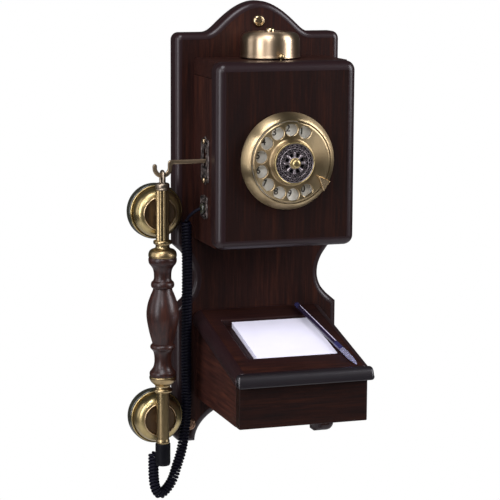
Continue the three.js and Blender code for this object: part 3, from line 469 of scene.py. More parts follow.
def slab(builder, face, outer, profile, holes=(), hole_profile=None):
    """A slab whose walls follow the rows (inset, depth, edge) of a profile from its back to its front.
    edge is the value of the attribute 'edge', 0 where a row leaves it out."""
    layer = builder.verts.layers.float.get("edge") or builder.verts.layers.float.new("edge")
    caps = ([], [])
    walls = [(outer, profile)] + [(loop, hole_profile or profile) for loop in holes]
    for loop, rows in walls:
        loop = turning(loop, 1 if loop is outer else -1)
        rings = []
        for amount, depth, *tint in rows:
            ring = [builder.verts.new(place) for place in face(inset(loop, amount), depth) * MM]
            for vertex in ring:
                vertex[layer] = tint[0] if tint else 0.0
            rings.append(ring)
        stitch(builder, rings)
        for cap, ring in zip(caps, (rings[0], rings[-1])):
            cap.extend(builder.edges.get((ring[i - 1], ring[i])) for i in range(len(ring)))
    if holes:
        for edges in caps:
            bmesh.ops.triangle_fill(builder, edges=edges, use_beauty=True, use_dissolve=False)
        return builder
    ends = [builder.faces.new(ring) for ring in (rings[0], rings[-1])]
    for end in ends:
        end.normal_update()
    bmesh.ops.triangulate(builder, faces=ends, quad_method="BEAUTY", ngon_method="EAR_CLIP")
    return builder


def lathe(builder, profile, sides, axis="z", at=(0, 0, 0)):
    """Turns rows (radius, place along the axis) in millimetres about an axis through at, in metres."""
    angles = np.linspace(0, TAU, sides, endpoint=False)
    rings = []
    for radius, along in np.array(profile, float) * MM:
        ring = []
        for angle in angles[:1] if radius < 1e-7 else angles:
            c, s = radius * math.cos(angle), radius * math.sin(angle)
            place = {"z": (c, s, along), "y": (c, along, s), "x": (along, c, s)}[axis]
            ring.append(builder.verts.new(Vector(place) + Vector(at)))
        rings.append(ring)
    stitch(builder, rings)
    return builder


def turned(name, rows, material, body, axis="z", at=(0, 0, 0), replaces=(), sides=64, step=0.8):
    """A piece turned about an axis from flowing rows."""
    builder = lathe(bmesh.new(), flowing(rows, step), sides, axis, at)
    return new_object(name, builder, material, body, replaces)


def eased(node, material, width=0.5, segments=3):
    """A copy of a cabinet board with its sharp edges slightly rounded, in place of the node."""
    builder = bmesh.new()
    builder.from_mesh(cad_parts[node].data)
    bmesh.ops.remove_doubles(builder, verts=builder.verts, dist=1e-6)
    bmesh.ops.dissolve_limit(builder, angle_limit=math.radians(1), verts=builder.verts, edges=builder.edges)
    sharp = [e for e in builder.edges if len(e.link_faces) == 2 and e.calc_face_angle() > math.radians(30)]
    bmesh.ops.bevel(builder, geom=sharp, offset=width * MM, segments=segments, affect="EDGES",
                    clamp_overlap=True, profile=0.5)
    bmesh.ops.triangulate(builder, faces=[f for f in builder.faces if len(f.verts) > 4])
    return new_object(f"{node}_board", builder, material, "cabinet", [node])


# ---- backboard ----
BOARD = {"half": 87.5, "top": 451.8, "depth": 19, "edge": 6.5}


def board_outline():
    half, top = BOARD["half"], BOARD["top"]
    waist = through([(77.5, 148), (70.8, 156.3), (67.3, 167), (67.8, 178), (71.5, 188), (78, 197.5)], 2)
    right = np.vstack((
        [(66, 0)], arc(half - 8, 8, 8, -90, 0), [(half, 139.5)], waist, [(half, 206)],
        arc(half - 7.5, 413, 7.5, 0, 90), [(57, 420.5)],
        bezier((57, 420.5), (50, 420.5), (46.5, 424.5), (41, 429.5)),
        bezier((41, 429.5), (31, 439), (16, top), (0, top)),
    ))
    left = right[::-1] * (-1, 1)
    arch = arc(0, 0, 66, 180, 0, 40, squash=42 / 66)
    return distinct(np.vstack((right, left, arch)))


def backboard():
    edge, depth = BOARD["edge"], BOARD["depth"]
    profile = [(0.5, 0, 0.6), (0, 0.5, 0.8)] + quarter(edge, depth, 8, 1.0)
    profile += [(edge + 0.25, depth - 0.03, 0.7), (edge + 0.5, depth - 0.08, 0.2),
                (edge + 0.7, depth - 0.1, 0), (edge + 0.9, depth - 0.1, 0)]
    builder = slab(bmesh.new(), front_face, board_outline(), profile)
    new_object("board", builder, "wood_board", "cabinet", ["backboard"])


def cross_loop(x, z, reach, half):
    """A cross-shaped hole, turning right."""
    corner = [(reach, half), (half, half), (half, reach)]
    rows = []
    for turn in range(4):
        c, s = math.cos(turn * math.pi / 2), math.sin(turn * math.pi / 2)
        rows += [(x + c * a - s * b, z + s * a + c * b) for a, b in corner]
    return np.array(rows)


SCREW = {"radius": 6.5, "height": 2.7, "base": 18.6}


def screw_head(name, node, x, z, material):
    """A round-headed screw: a domed ring round a sunk disc with a cross recess."""
    radius, height, base = SCREW["radius"], SCREW["height"], SCREW["base"]
    dome = [(0, 0), (0.1, 0.55), (0.24, 0.93), (0.33, 1), (0.4, 0.97), (0.46, 0.72)]
    ring = [(radius * inwards, base + height * rise) for inwards, rise in dome]
    builder = slab(bmesh.new(), front_face, circle(x, z, radius, 40), ring)
    disc = [(0, base), (0, base + height * 0.8), (radius * 0.06, base + height * 0.86)]
    recess = [(0, base), (0, base + height * 0.86)]
    cross = cross_loop(x, z, radius * 0.34, radius * 0.09)
    slab(builder, front_face, circle(x, z, radius * 0.56, 32), disc, [cross], recess)
    new_object(name, builder, material, "cabinet", [node], weighted=False)


def board_screws():
    # The top screw is light brass; the two lower ones take the darker brass as painted shade.
    for side, material in (("top", "brass"), ("left", "screw_brass"), ("right", "screw_brass")):
        low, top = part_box(f"board_screw_{side}")
        x, z = (low.x + top.x) / 2 / MM, ((low.z + top.z) / 2 - FEET) / MM
        screw_head(f"screw_{side}", f"board_screw_{side}", x, z, material)


# ---- bell box ----
PANEL = {"half": 72.15, "low": 213.4, "top": 396.5, "back": 89.4, "front": 107.3, "edge": 8.7, "corner": 9.5,
         "opening": 39.4}
DIAL_HEIGHT = 300


def front_panel():
    half, back, front, edge = (PANEL[k] for k in ("half", "back", "front", "edge"))
    outline = rounded_rectangle(-half, half, PANEL["low"], PANEL["top"], PANEL["corner"], 10)
    profile = [(0.6, back, 0.7), (0, back + 0.6, 0.9)] + quarter(edge, front, 9, 1.0)
    profile += [(edge + 0.2, front - 0.03, 0.7), (edge + 0.4, front - 0.08, 0.2),
                (edge + 0.55, front - 0.1, 0), (edge + 0.7, front - 0.1, 0)]
    opening = circle(0, DIAL_HEIGHT, PANEL["opening"], 48)
    straight = [(0, back), (0, front - 0.1)]
    builder = slab(bmesh.new(), front_face, outline, profile, [opening], straight)
    new_object("panel", builder, "wood_box", "cabinet", ["front_panel"])


def box_boards():
    for place in ("left_side", "right_side", "bottom"):
        # The side boards' lighter tone is painted light.
        eased(f"box_{place}", "wood_side")
    eased("box_top", "wood_lid", 0.7)


# ---- writing desk ----
DESK = {"half": 70.2, "thumb": 9, "front": 161.7, "back": 19.3, "rim": 102.9, "thick": 12.4,
        "slope": math.tan(math.radians(14))}
TRAY = {"half": 47.3, "front": 131.9, "back": 44.6}
PAD = {"left": -37.75, "right": 45.95, "front": 131.4, "back": 50.2, "low": -5.9, "sheets": 16, "sheet": 0.32,
       "gap": 0.015, "untidy": 0.07}


def rim_height(y):
    return DESK["rim"] + (y + DESK["front"]) * DESK["slope"]


def desk_face(loop, depth):
    """Loop in x and y on the desk's sloped rim plane, moved up by depth."""
    return np.column_stack((loop[:, 0], loop[:, 1], rim_height(loop[:, 1]) + depth + FEET / MM))


def thumb_face(loop, depth):
    """As desk_face, with the lid's left and right edges drawn in along a thumb-shaped moulding."""
    sunk = max(0, min(1, 1 + depth / DESK["thumb"]))
    drawn_in = DESK["thumb"] * (1 - math.sqrt(1 - sunk * sunk))
    places = desk_face(loop, depth)
    edge = np.abs(loop[:, 0]) > DESK["half"] - 1.5 * DESK["thumb"]
    places[:, 0] -= np.where(edge, np.sign(loop[:, 0]) * drawn_in, 0)
    return places


def desk_top():
    half, thick, thumb = DESK["half"], DESK["thick"], DESK["thumb"]
    outline = rounded_rectangle(-half, half, -DESK["front"], -DESK["back"], 2.4, 5)
    outer = [(0.8, -thick, 0.7), (0.2, 0.3 - thick, 0.9), (0, 0.9 - thick, 1.0)]
    outer += [(0, -thumb * (1 - math.sin(a)), 1.0) for a in np.linspace(0, math.pi / 2, 10)]
    outer += [(0.5, -0.04, 0.8), (1.2, -0.12, 0.2), (1.6, -0.15, 0), (2.2, -0.15, 0)]
    tray = rounded_rectangle(-TRAY["half"], TRAY["half"], -TRAY["front"], -TRAY["back"], 1, 4)
    # The tray's wall and floor take 'edge' values of 0.4 to 0.6: the rounded lip at its mouth is a dark edge
    # like the others, and the darker wall and floor are painted shade in the recess round the pad.
    inner = [(0, -thick), (0, -1.4, 0.5)] + [(a, d - 0.15, 0.6) for a, d, _ in quarter(1.2, 0, 5)]
    builder = slab(bmesh.new(), thumb_face, outline, outer, [tray], inner)
    # The tray's floor, darkened through 'edge' as painted shade.
    slab(builder, desk_face, tray, [(0, -thick, 0.4), (0, -6, 0.4)])
    new_object("desk_lid", builder, "wood_desk_top", "cabinet", ["desk_top"])


def desk_moulding():
    """A thumb-shaped moulding along the desk's front, fullest near its foot."""
    nose = bezier((-164.2, 102.2), (-168.4, 101.8), (-171, 97.4), (-171, 91), 14)
    foot = bezier((-171, 91), (-171, 90.2), (-170.7, 89.7), (-170, 89.7), 5)
    section = distinct(np.vstack(([(-162.3, 89.6), (-162.3, 102.25)], nose, foot)))
    rounding = [(inwards, end) for inwards, end, _ in quarter(3, DESK["half"], 6)]
    ends = [(inwards, -end) for inwards, end in rounding[::-1]] + rounding
    builder = slab(bmesh.new(), side_face, section, ends)
    new_object("moulding", builder, "lacquer", "cabinet", ["desk_moulding"])


def desk_boards():
    # The desk sides' lighter tone is painted light and sheen.
    eased("desk_left_side", "wood_desk_side")
    eased("desk_right_side", "wood_desk_side")
    eased("desk_front", "wood_desk_front", 1.2, 4)
    eased("desk_bottom", "wood_desk_front")


def note_pad():
    """A stack of thick leaves, each a little out of line."""
    generator = np.random.default_rng(4)
    leaf = rounded_rectangle(PAD["left"], PAD["right"], -PAD["front"], -PAD["back"], 0.5, 3)
    builder = bmesh.new()
    for i in range(PAD["sheets"]):
        shift = generator.normal(0, PAD["untidy"], 2)
        low = PAD["low"] + i * (PAD["sheet"] + PAD["gap"])
        slab(builder, desk_face, leaf + shift, [(0, low), (0, low + PAD["sheet"])])
    new_object("pad_sheets", builder, "paper", "pad", ["note_pad"], weighted=False)


PEN = {"back": (40, -26), "front": (53.3, -165), "lift": 3.4, "slim": 0.78}
# Size and place of the pen's painted highlight strip, in the pen's own frame.
PEN_HIGHLIGHT = {"size": (0.9, 0.5, 86), "at": (0, 2.5, 52.5)}


def pen_parts(length):
    """Name, look and profile of each part of the pen, from its back end."""
    return [
        ("pen_plug", "pen_blue", [(0, 0), [2.4, 0], (3.1, 0.8), (3.3, 2), [3.3, 9], (0, 9)]),
        ("pen_refill", "pen_barrel", [(0, 9.2), [2.75, 9.2], [2.75, 96], (0, 96)]),
        ("pen_barrel", "pen_dark", [(2.85, 9.2), [3.35, 9.2], [3.35, 96], [2.85, 96], (2.85, 9.2)]),
        ("pen_grip", "pen_blue", [(0, 96.2), [3.5, 96.2], (3.55, 99), (3.55, 108), [3.5, 111], (0, 111)]),
        ("pen_front", "pen_clear", [(0, 111.2), [3.5, 111.2], (3.5, 122), (3.1, 131), (2.2, 137.5),
                                    [1.3, length - 2.4], (0.6, length - 0.4), (0, length - 0.3)]),
    ]


def pen():
    """Ballpoint: blue end plug, dark barrel with a light strip over its refill that is a painted highlight,
    blue grip and clear front.
    """
    start, end = (Vector((x * MM, y * MM, high(rim_height(y) + PEN["lift"])))
                  for x, y in (PEN["back"], PEN["front"]))
    place = Matrix.Translation(start) @ (end - start).to_track_quat("Z", "Y").to_matrix().to_4x4()
    for name, material, rows in pen_parts((end - start).length / MM):
        builder = lathe(bmesh.new(), flowing(rows, 2) * (PEN["slim"], 1), 32)
        bmesh.ops.transform(builder, matrix=place, verts=builder.verts)
        new_object(name, builder, material, "pen_body", ["pen"], weighted=False)
    # The light strip along the barrel is a painted highlight.
    line = bmesh.new()
    size = Matrix.Diagonal(Vector(PEN_HIGHLIGHT["size"]) * MM).to_4x4()
    at = Matrix.Translation(Vector(PEN_HIGHLIGHT["at"]) * MM)
    bmesh.ops.create_cube(line, size=1, matrix=place @ at @ size)
    new_object("pen_highlight_strip", line, "pen_line", "pen_body", ["pen"], weighted=False)


# ---- bell ----
BELL_AT = Vector((0, -54 * MM, FEET))


def bell():
    outer = [[30, 398], (30.0, 399.2), (29.7, 400), (29.6, 404), (29.6, 410), (29.5, 414.6), (28.9, 417.6),
             (27.3, 420.3), (24.8, 421.9), (21, 422.55), (17, 422.7), (10, 422.7), [3, 422.7]]
    inner = [[3, 421.1], (20, 421.1), (24, 420.8), (26.4, 419.4), (27.8, 417), (28.1, 414), (28.2, 404),
             [28.2, 398], (30, 398)]
    turned("gong", outer + inner, "bell_brass", "cabinet", at=BELL_AT, replaces=["bell_gong"], sides=96)
    nut = [(0.3, 422.9), [4.6, 422.9], [4.6, 424.4], (4.0, 425.8), (2.6, 426.9), (0, 427.3)]
    turned("gong_nut", nut, "brass", "cabinet", at=BELL_AT, replaces=["bell_nut"], sides=40)


CLAPPER = {"ball": 3.2, "ball_height": 400.4, "ball_front": 88, "arm_front": 86.4, "pivot_height": 345}


def clapper():
    ball, height, pivot = CLAPPER["ball"], CLAPPER["ball_height"], CLAPPER["pivot_height"]
    arm_at = -CLAPPER["arm_front"] * MM
    sphere = [(ball * math.sin(a), height - ball * math.cos(a)) for a in np.linspace(0, math.pi, 17)]
    builder = lathe(bmesh.new(), sphere, 32, "z", (0, -CLAPPER["ball_front"] * MM, FEET))
    lathe(builder, [(0, pivot), (0.9, pivot), (0.9, 399), (0, 399)], 16, "z", (0, arm_at, FEET))
    lathe(builder, [(0, -11.5), (1.4, -11.5), (1.4, 11.5), (0, 11.5)], 16, "x", (0, arm_at, high(pivot)))
    new_object("bell_clapper", builder, "rod_brass", "clapper_body", ["clapper"], weighted=False)


# ---- rotary dial ----
DIAL_AT = Vector((0, 0, high(DIAL_HEIGHT)))
HOLES = {"ring": 32, "radius": 6.3, "angles": [65 + 26 * i for i in range(10)]}
DIGIT = {"size": 9.5, "raised": 0.1, "bolder": 0.12, "front": 110.25}


def on_dial(radius, degrees):
    """x and height above the feet of a point on the dial."""
    a = math.radians(degrees)
    return radius * math.cos(a), DIAL_HEIGHT + radius * math.sin(a)


def dial_bezel():
    rows = [[48, -107.6], (48, -108.8), (47.8, -109.6), (47.2, -111.4), (46.2, -113.6), (44.9, -115.8),
            (43.5, -117.6), (42.1, -118.8), (41.3, -119.25), (40.7, -119.2), [40.4, -118.7], [40.4, -107.6],
            (48, -107.6)]
    turned("bezel", rows, "dial_brass", "cabinet", "y", DIAL_AT, ["dial_bezel"], 128)


def digit_mesh(digit, x, z):
    """A digit as a thin solid on the number plate, centred at x and height z."""
    text = bpy.data.curves.new("digit", "FONT")
    text.body = digit
    text.size = DIGIT["size"] * MM
    text.extrude = DIGIT["raised"] * MM
    text.offset = DIGIT["bolder"] * MM
    text.align_x = "CENTER"
    text.align_y = "CENTER"
    holder = bpy.data.objects.new("digit", text)
    mesh = bpy.data.meshes.new_from_object(holder)
    place = Matrix.Translation((x * MM, -DIGIT["front"] * MM, high(z)))
    mesh.transform(place @ Matrix.Rotation(math.pi / 2, 4, "X"))
    bpy.data.objects.remove(holder)
    bpy.data.curves.remove(text)
    return mesh


def number_plate():
    rows = [(3, -108.6), [39.9, -108.6], (39.9, -109.8), [39.6, -110.1], [3, -110.1], (3, -108.6)]
    turned("plate", rows, "enamel", "cabinet", "y", DIAL_AT, ["number_plate"], 96)
    builder = bmesh.new()
    for angle, digit in zip(HOLES["angles"], "1234567890"):
        mesh = digit_mesh(digit, *on_dial(HOLES["ring"], angle))
        builder.from_mesh(mesh)
        bpy.data.meshes.remove(mesh)
    new_object("plate_digits", builder, "digits", "cabinet", weighted=False)


def finger_wheel():
    holes = [circle(*on_dial(HOLES["ring"], a), HOLES["radius"], 40) for a in HOLES["angles"]]
    outline = circle(0, DIAL_HEIGHT, 39.7, 120)
    rim = [(0.3, 118.9), (0, 119.2), (0, 119.9), (0.25, 120.5), (0.8, 120.95), (1.5, 121.15), (2.4, 121.2)]
    lip = [(0, 118.9), (0, 120.6), (0.12, 120.95), (0.45, 121.2)]
    builder = slab(bmesh.new(), front_face, outline, rim, holes, lip)
    hub = [(0, -120), [23.4, -120], (23.3, -121.3), (22.4, -122.0), (21.7, -123.4), (21.4, -125.4),
           (21.3, -127.0), [21.0, -127.5], (0, -127.6)]
    lathe(builder, flowing(hub, 0.5), 96, "y", DIAL_AT)
    new_object("wheel", builder, "dial_brass", "dial", ["finger_wheel"])


def medallion_ring():
    rows = [(19.2, -127.9), [20.9, -127.9], (20.9, -129), (20.7, -129.8), (20.2, -130.2), (19.6, -130.0),
            [19.2, -129.4], (19.2, -127.9)]
    turned("rosette_ring", rows, "cup_brass", "dial", "y", DIAL_AT, ["medallion_ring"], 96, 0.3)


def loops(x, z, count, ring, radius, wire, turn=0.0):
    """Height of a round of small wire loops at the points x, z, from 0 to 1."""
    angle = np.arctan2(z, x) - turn
    step = TAU / count
    nearest = np.round(angle / step) * step + turn
    away = np.hypot(x - ring * np.cos(nearest), z - ring * np.sin(nearest))
    return np.exp(-((away - radius) / wire) ** 2)


ROSETTE = {"radius": 19.1, "hole": 3.4, "back": 128.1, "relief": 1.7, "drawn_to": 17.4}


def rosette_height(x, z):
    r = np.hypot(x, z)
    ribs = [np.exp(-((r - at) / width) ** 2)
            for at, width in ((5.0, 0.6), (9.4, 0.3), (13.2, 0.28), (17.1, 0.45))]
    angle = np.arctan2(z, x)
    step = TAU / 8
    off_spoke = r * np.abs(np.sin(angle - np.round(angle / step) * step))
    spokes = np.exp(-(off_spoke / (0.35 + 0.12 * r)) ** 4) * (r < 9.4)
    rounds = [spokes, loops(x, z, 16, 11.3, 0.95, 0.34, TAU / 32), loops(x, z, 16, 11.3, 0.0, 0.3),
              loops(x, z, 24, 15.1, 0.95, 0.32), loops(x, z, 24, 15.1, 0.0, 0.4, TAU / 48),
              loops(x, z, 16, 13.2, 0.0, 0.55), loops(x, z, 8, 9.4, 0.0, 0.9)]
    return np.maximum.reduce(ribs + rounds)


def medallion():
    """Rosette of wire loops in three rounds, cast in one piece."""
    builder = bmesh.new()
    layer = builder.verts.layers.float.new("shaded_hollow")
    angles = np.linspace(0, TAU, 288, endpoint=False)
    scale = ROSETTE["drawn_to"] / ROSETTE["radius"]
    rings = []
    for r in np.linspace(ROSETTE["hole"], ROSETTE["radius"], 64):
        x, z = r * np.cos(angles), r * np.sin(angles)
        ring = []
        for xx, zz, h in zip(x, z, rosette_height(x * scale, z * scale)):
            depth = ROSETTE["back"] + ROSETTE["relief"] * h
            vertex = builder.verts.new((xx * MM, -depth * MM, high(DIAL_HEIGHT + zz)))
            # Painted shade: the low ground between the loops goes near black.
            vertex[layer] = float(np.clip(1.25 - 2.3 * h, 0, 1))
            ring.append(vertex)
        rings.append(ring)
    stitch(builder, rings)
    new_object("rosette_plate", builder, "rosette", "dial", ["medallion"], sharp=80, weighted=False)


def medallion_boss():
    rows = [(0, -129.4), [5.4, -129.4], (5.5, -130.4), (5.1, -131.2), [4.4, -131.6], (4.3, -132.6),
            (4.7, -133.4), (4.2, -134.9), (2.8, -136.0), (1.2, -136.3), (0, -136.35)]
    turned("rosette_boss", rows, "cup_brass", "dial", "y", DIAL_AT, ["medallion_boss"], 48, 0.3)


CLAW = {"root": 44.2, "sole": 123, "tilt": 0.16, "level_at": 24}


def claw_face(loop, depth):
    """As front_face, with the claw's front side tilted towards the wall at its root."""
    tilt = CLAW["tilt"] if depth > CLAW["sole"] else 0
    return front_face(loop, depth) + np.outer(loop[:, 0] - CLAW["level_at"], (0, tilt, 0))


def finger_stop():
    """A bent claw: its foot is on the bezel and its point hooks over the wheel."""
    root = CLAW["root"]
    outer = [on_dial(root, a) for a in np.linspace(-42.5, -26.5, 8)]
    over = through([on_dial(*p) for p in ((root, -26.5), (40, -26.0), (34, -26.2), (28.2, -27.2))], 0.8)
    under = through([on_dial(*p) for p in ((27.6, -28.6), (32, -32), (37, -37), (41, -41), (root, -42.5))],
                    0.8)
    profile = [(0.2, 121.9), (0, 122.1), (0, 123.2), (0.5, 124.6), (1.1, 125.2)]
    builder = slab(bmesh.new(), claw_face, distinct(np.vstack((outer, over, under))), profile)
    x, z = on_dial(42.2, -35)
    lathe(builder, [(0, -117.5), (1.7, -117.5), (1.7, -122.5), (0, -122.5)], 20, "y", (x * MM, 0, high(z)))
    new_object("stop_claw", builder, "brass", "cabinet", ["finger_stop"])


# ---- hook and the side plates ----
HOOK = {"y": -59, "arm": 296.5, "half": 2.1, "pivot": -8, "x": -113, "z": 291.1, "outer": 10, "inner": 5.6,
        "tip_rise": 1.8}


def hook_outline():
    h = HOOK
    mid = (h["outer"] + h["inner"]) / 2
    tip = mid - h["inner"]
    under = arc(h["x"], h["z"], h["outer"], 0, -180, 25)
    end = arc(h["x"] - mid, h["z"] + h["tip_rise"], tip, 180, 0, 9)
    inside = arc(h["x"], h["z"], h["inner"], 180, 360, 21)
    elbow = bezier((h["x"] + h["inner"], 293.6), (h["x"] + h["inner"], 296.8), (h["x"] + 6.4, 298.6),
                   (h["x"] + 9, 298.6), 8)
    eye = arc(h["pivot"], h["arm"], 4.6, 152, -152, 24)
    crook = bezier((h["x"] + 12, 294.4), (h["x"] + 10.5, 294.4), (h["x"] + 10, 293.6), (h["x"] + 10, 292.4),
                   6)
    return distinct(np.vstack((crook, under, end, inside, elbow, eye)))


def hook_lever():
    profile = [(0.9, 57.6), (0.3, 57.9), (0, 58.5), (0, 59.5), (0.3, 60.1), (0.9, 60.4)]
    pin_hole = circle(HOOK["pivot"], HOOK["arm"], 2.1, 24)
    builder = slab(bmesh.new(), front_face, hook_outline(), profile, [pin_hole], [(0, 57.6), (0, 60.4)])
    new_object("hook_bar", builder, "hook_brass", "hook", ["hook_lever"])


PLATE = {"wall": 68.75, "base": 0.5, "relief": 0.9, "pattern": 17, "boss": 3.4}


def scroll_height(u, v, reach):
    """Height of the scrolls, from 0 to 1, at u, v on a plate of radius 17. reach is 1 at the plate's edge."""
    rim = np.exp(-((reach - 0.93) / 0.06) ** 2) + 0 * u
    return np.maximum.reduce([loops(u, v, 8, 12.2, 2.4, 0.9), loops(u, v, 8, 8, 1.3, 0.9, TAU / 16), rim,
                              loops(u, v, 8, 15.4, 0.0, 1.1)])


def ornament_plate(name, node, centre, half, opening, screws=()):
    """A cast plate of scrolls on the box's side. opening is (y0, y1, z0, z1), cut right through."""
    angles = np.linspace(0, TAU, 200, endpoint=False)
    outline = 1 - 0.1 * np.cos(4 * angles) + 0.07 * np.cos(8 * angles) - 0.05 * np.cos(2 * angles)
    builder = bmesh.new()
    layer = builder.verts.layers.float.new("shaded_hollow")
    rings = []
    for reach in np.linspace(0.0, 1.0, 34):
        y = centre[0] + half[0] * outline * reach * np.cos(angles)
        z = centre[1] + half[1] * outline * reach * np.sin(angles)
        u, v = (y - centre[0]) * PLATE["pattern"] / half[0], (z - centre[1]) * PLATE["pattern"] / half[1]
        height = scroll_height(u, v, reach)
        for screw in screws:
            height = np.where(np.hypot(y - screw[0], z - screw[1]) < PLATE["boss"], 0.4, height)
        front = 1 if reach < 0.99 else 0
        ring = []
        for yy, zz, h in zip(y, z, height):
            depth = PLATE["wall"] + front * (PLATE["base"] + PLATE["relief"] * h)
            vertex = builder.verts.new((-depth * MM, yy * MM, high(zz)))
            # Painted shade: the low ground between the scrolls goes near black.
            vertex[layer] = float(np.clip(1.15 - 2.4 * h, 0, 1)) * front
            ring.append(vertex)
        rings.append(ring)
    y0, y1, z0, z1 = opening

    def solid(corners):
        middle = sum((c.co for c in corners), Vector()) / len(corners)
        return not (y0 < middle.y / MM < y1 and z0 < (middle.z - FEET) / MM < z1)

    stitch(builder, rings, solid)
    new_object(name, builder, "filigree", "cabinet", [node], sharp=80, weighted=False)


def side_plates():
    screws = [(-59, 316.2), (-59, 277.4)]
    ornament_plate("hook_plate", "hook_escutcheon", (-59, 297), (13.6, 24), (-61.8, -56.2, 292, 309), screws)
    ornament_plate("outlet_plate", "outlet_escutcheon", (-56, 250.2), (12.2, 12.2), (-61, -53, 244.6, 252.6))
    for place, (y, z) in zip(("upper", "lower"), screws):
        rows = [(0, 0), [2.9, 0], (2.9, -0.5), (2.4, -1.2), (1.4, -1.6), (0, -1.7)]
        turned(f"plate_screw_{place}", rows, "brass", "cabinet", "x", (-70.4 * MM, y * MM, high(z)),
               [f"escutcheon_screw_{place}"], 32, 0.3)


# ---- handset ----
AXIS = {"x": -113, "y": -59}
GRIP_AT = Vector((AXIS["x"] * MM, AXIS["y"] * MM, FEET))
CUPS = {"receiver": 244.5, "transmitter": 34.5}


def handset_turning(name, rows, material, node, step=0.8, sides=64):
    turned(name, rows, material, "handset", "z", GRIP_AT, [node], sides, step)


EYE = {"half": (5.7, 8.5), "height": 279.3, "wire": (1.45, 1.7)}


def handset_eye():
    """The hanging loop: an oval ring that stands on a flat collar."""
    builder = bmesh.new()
    half_width, half_height = EYE["half"]
    wire, thick = EYE["wire"]
    rings = []
    for a in np.linspace(0, TAU, 64, endpoint=False):
        centre = np.array([half_width * math.cos(a), half_height * math.sin(a)])
        outward = np.array([math.cos(a) / half_width, math.sin(a) / half_height])
        outward /= np.linalg.norm(outward)
        ring = []
        for b in np.linspace(0, TAU, 20, endpoint=False):
            y, z = centre + outward * wire * math.cos(b)
            ring.append(builder.verts.new(((AXIS["x"] + thick * math.sin(b)) * MM, (AXIS["y"] + y) * MM,
                                           high(EYE["height"] + z))))
        rings.append(ring)
    stitch(builder, rings + rings[:1])
    collar = [(0, 269.3), [6.5, 269.3], (7.1, 269.9), (7.1, 270.6), [6.7, 271.1], (7.0, 271.6), (7.1, 273),
              (7.0, 274.6), (6.4, 275.8), [5.2, 276.3], (0, 276.4)]
    lathe(builder, flowing(collar, 0.4), 48, "z", GRIP_AT)
    new_object("eye_loop", builder, "dark_brass", "handset", ["handset_eye"], weighted=False)


def saddle(builder, height):
    """The short post between a rod and the back of its cup."""
    post = [(0, 4.2), (5, 4.2), (5, 8.6), (5, 9.4), (0, 9.4)]
    return lathe(builder, post, 40, "y", (GRIP_AT.x, GRIP_AT.y, high(height)))


FLUTES = {"count": 8, "first": math.radians(-76), "radius": 6.8, "depth": 0.13, "fullness": 0.8,
          "heights": (219.3, 232, 244, 256, 269)}


def upper_rod():
    """A rod with flutes from end to end."""
    low, *_, top = FLUTES["heights"]
    rows = [(0, low)] + [(FLUTES["radius"], height) for height in FLUTES["heights"]] + [(0, top)]
    builder = lathe(bmesh.new(), rows, 240, "z", GRIP_AT)
    for vertex in builder.verts:
        x, y, _ = vertex.co - GRIP_AT
        reed = abs(math.cos(FLUTES["count"] / 2 * (math.atan2(y, x) - FLUTES["first"])))
        scale = 1 - FLUTES["depth"] * (1 - reed) ** FLUTES["fullness"]
        vertex.co.x = GRIP_AT.x + x * scale
        vertex.co.y = GRIP_AT.y + y * scale
    saddle(builder, CUPS["receiver"])
    new_object("fluted_rod", builder, "rod_brass", "handset", ["upper_rod"], weighted=False)


def lower_rod():
    rows = [(0, 12.8), [6.8, 12.8], (6.9, 14.4), (6.6, 16), [6.3, 17], [6.3, 65.1], (0, 65.1)]
    builder = lathe(bmesh.new(), flowing(rows, 0.8), 64, "z", GRIP_AT)
    saddle(builder, CUPS["transmitter"])
    new_object("plain_rod", builder, "rod_brass", "handset", ["lower_rod"])


def handset_grip():
    upper = [(0, 219), (8.6, 219), (9.1, 218.4), (9.25, 217.2), (9.0, 215.9), [8.3, 215.3], (7.2, 215.1),
             (7.0, 214), (7.05, 212.4), (7.8, 211.3), (9.6, 210.6), (11.6, 209.8), (13.2, 208.2),
             (14.0, 206), (14.2, 204), [13.9, 202.4], (0, 202.4)]
    handset_turning("collar_high", upper, "rod_brass", "upper_collar")
    wood_rows = [(0, 202.1), [13.6, 202.1], (14.1, 200.8), (14.1, 198.6), (13.4, 196), (11.2, 193.1),
                 (9.7, 190.4), (8.9, 187), (8.65, 183.3), (8.8, 180.6), [9.5, 178.6], (10.9, 177.4),
                 (11.6, 175.4), (11.5, 173.1), (10.6, 171.6), [9.5, 170.9], (9.9, 168.9), (12.2, 163.4),
                 (14.7, 156), (16.0, 149), (16.2, 144), (15.8, 139), (14.6, 132), (12.5, 122.8),
                 (10.9, 117.2), [10.3, 114.6], (11.7, 113.9), (12.5, 112.3), (12.3, 110.4), [11, 109],
                 (9.6, 107.1), (8.7, 103.4), (8.35, 98.5), (8.6, 94.6), (9.6, 91), (11.6, 87.8),
                 (12.9, 86.2), (13.3, 84.4), (13.0, 82.4), [12.7, 82], (0, 82)]
    handset_turning("grip", wood_rows, "wood_grip", "wood_grip", 0.7, 96)
    lower = [(0, 81.7), (13.0, 81.7), (13.5, 81.1), (13.5, 79.8), (12.9, 77.8), (11.3, 75.4), (9.3, 73.7),
             (8.0, 72.4), (7.6, 70.8), [7.8, 69.6], (8.9, 69), (9.65, 67.9), (9.6, 66.6), (8.7, 65.6),
             [7.4, 65.4], (0, 65.4)]
    handset_turning("collar_low", lower, "rod_brass", "lower_collar")
    boot = [(0, 12.5), (6.9, 12.5), (7.4, 12.1), [7.6, 11.3], [7.6, -8], (7.15, -8.5), [7.15, -9.2],
            (6.9, -9.9), (6.2, -10.3), (0, -10.3)]
    handset_turning("boot", boot, "rubber", "cord_boot", 0.8, 48)


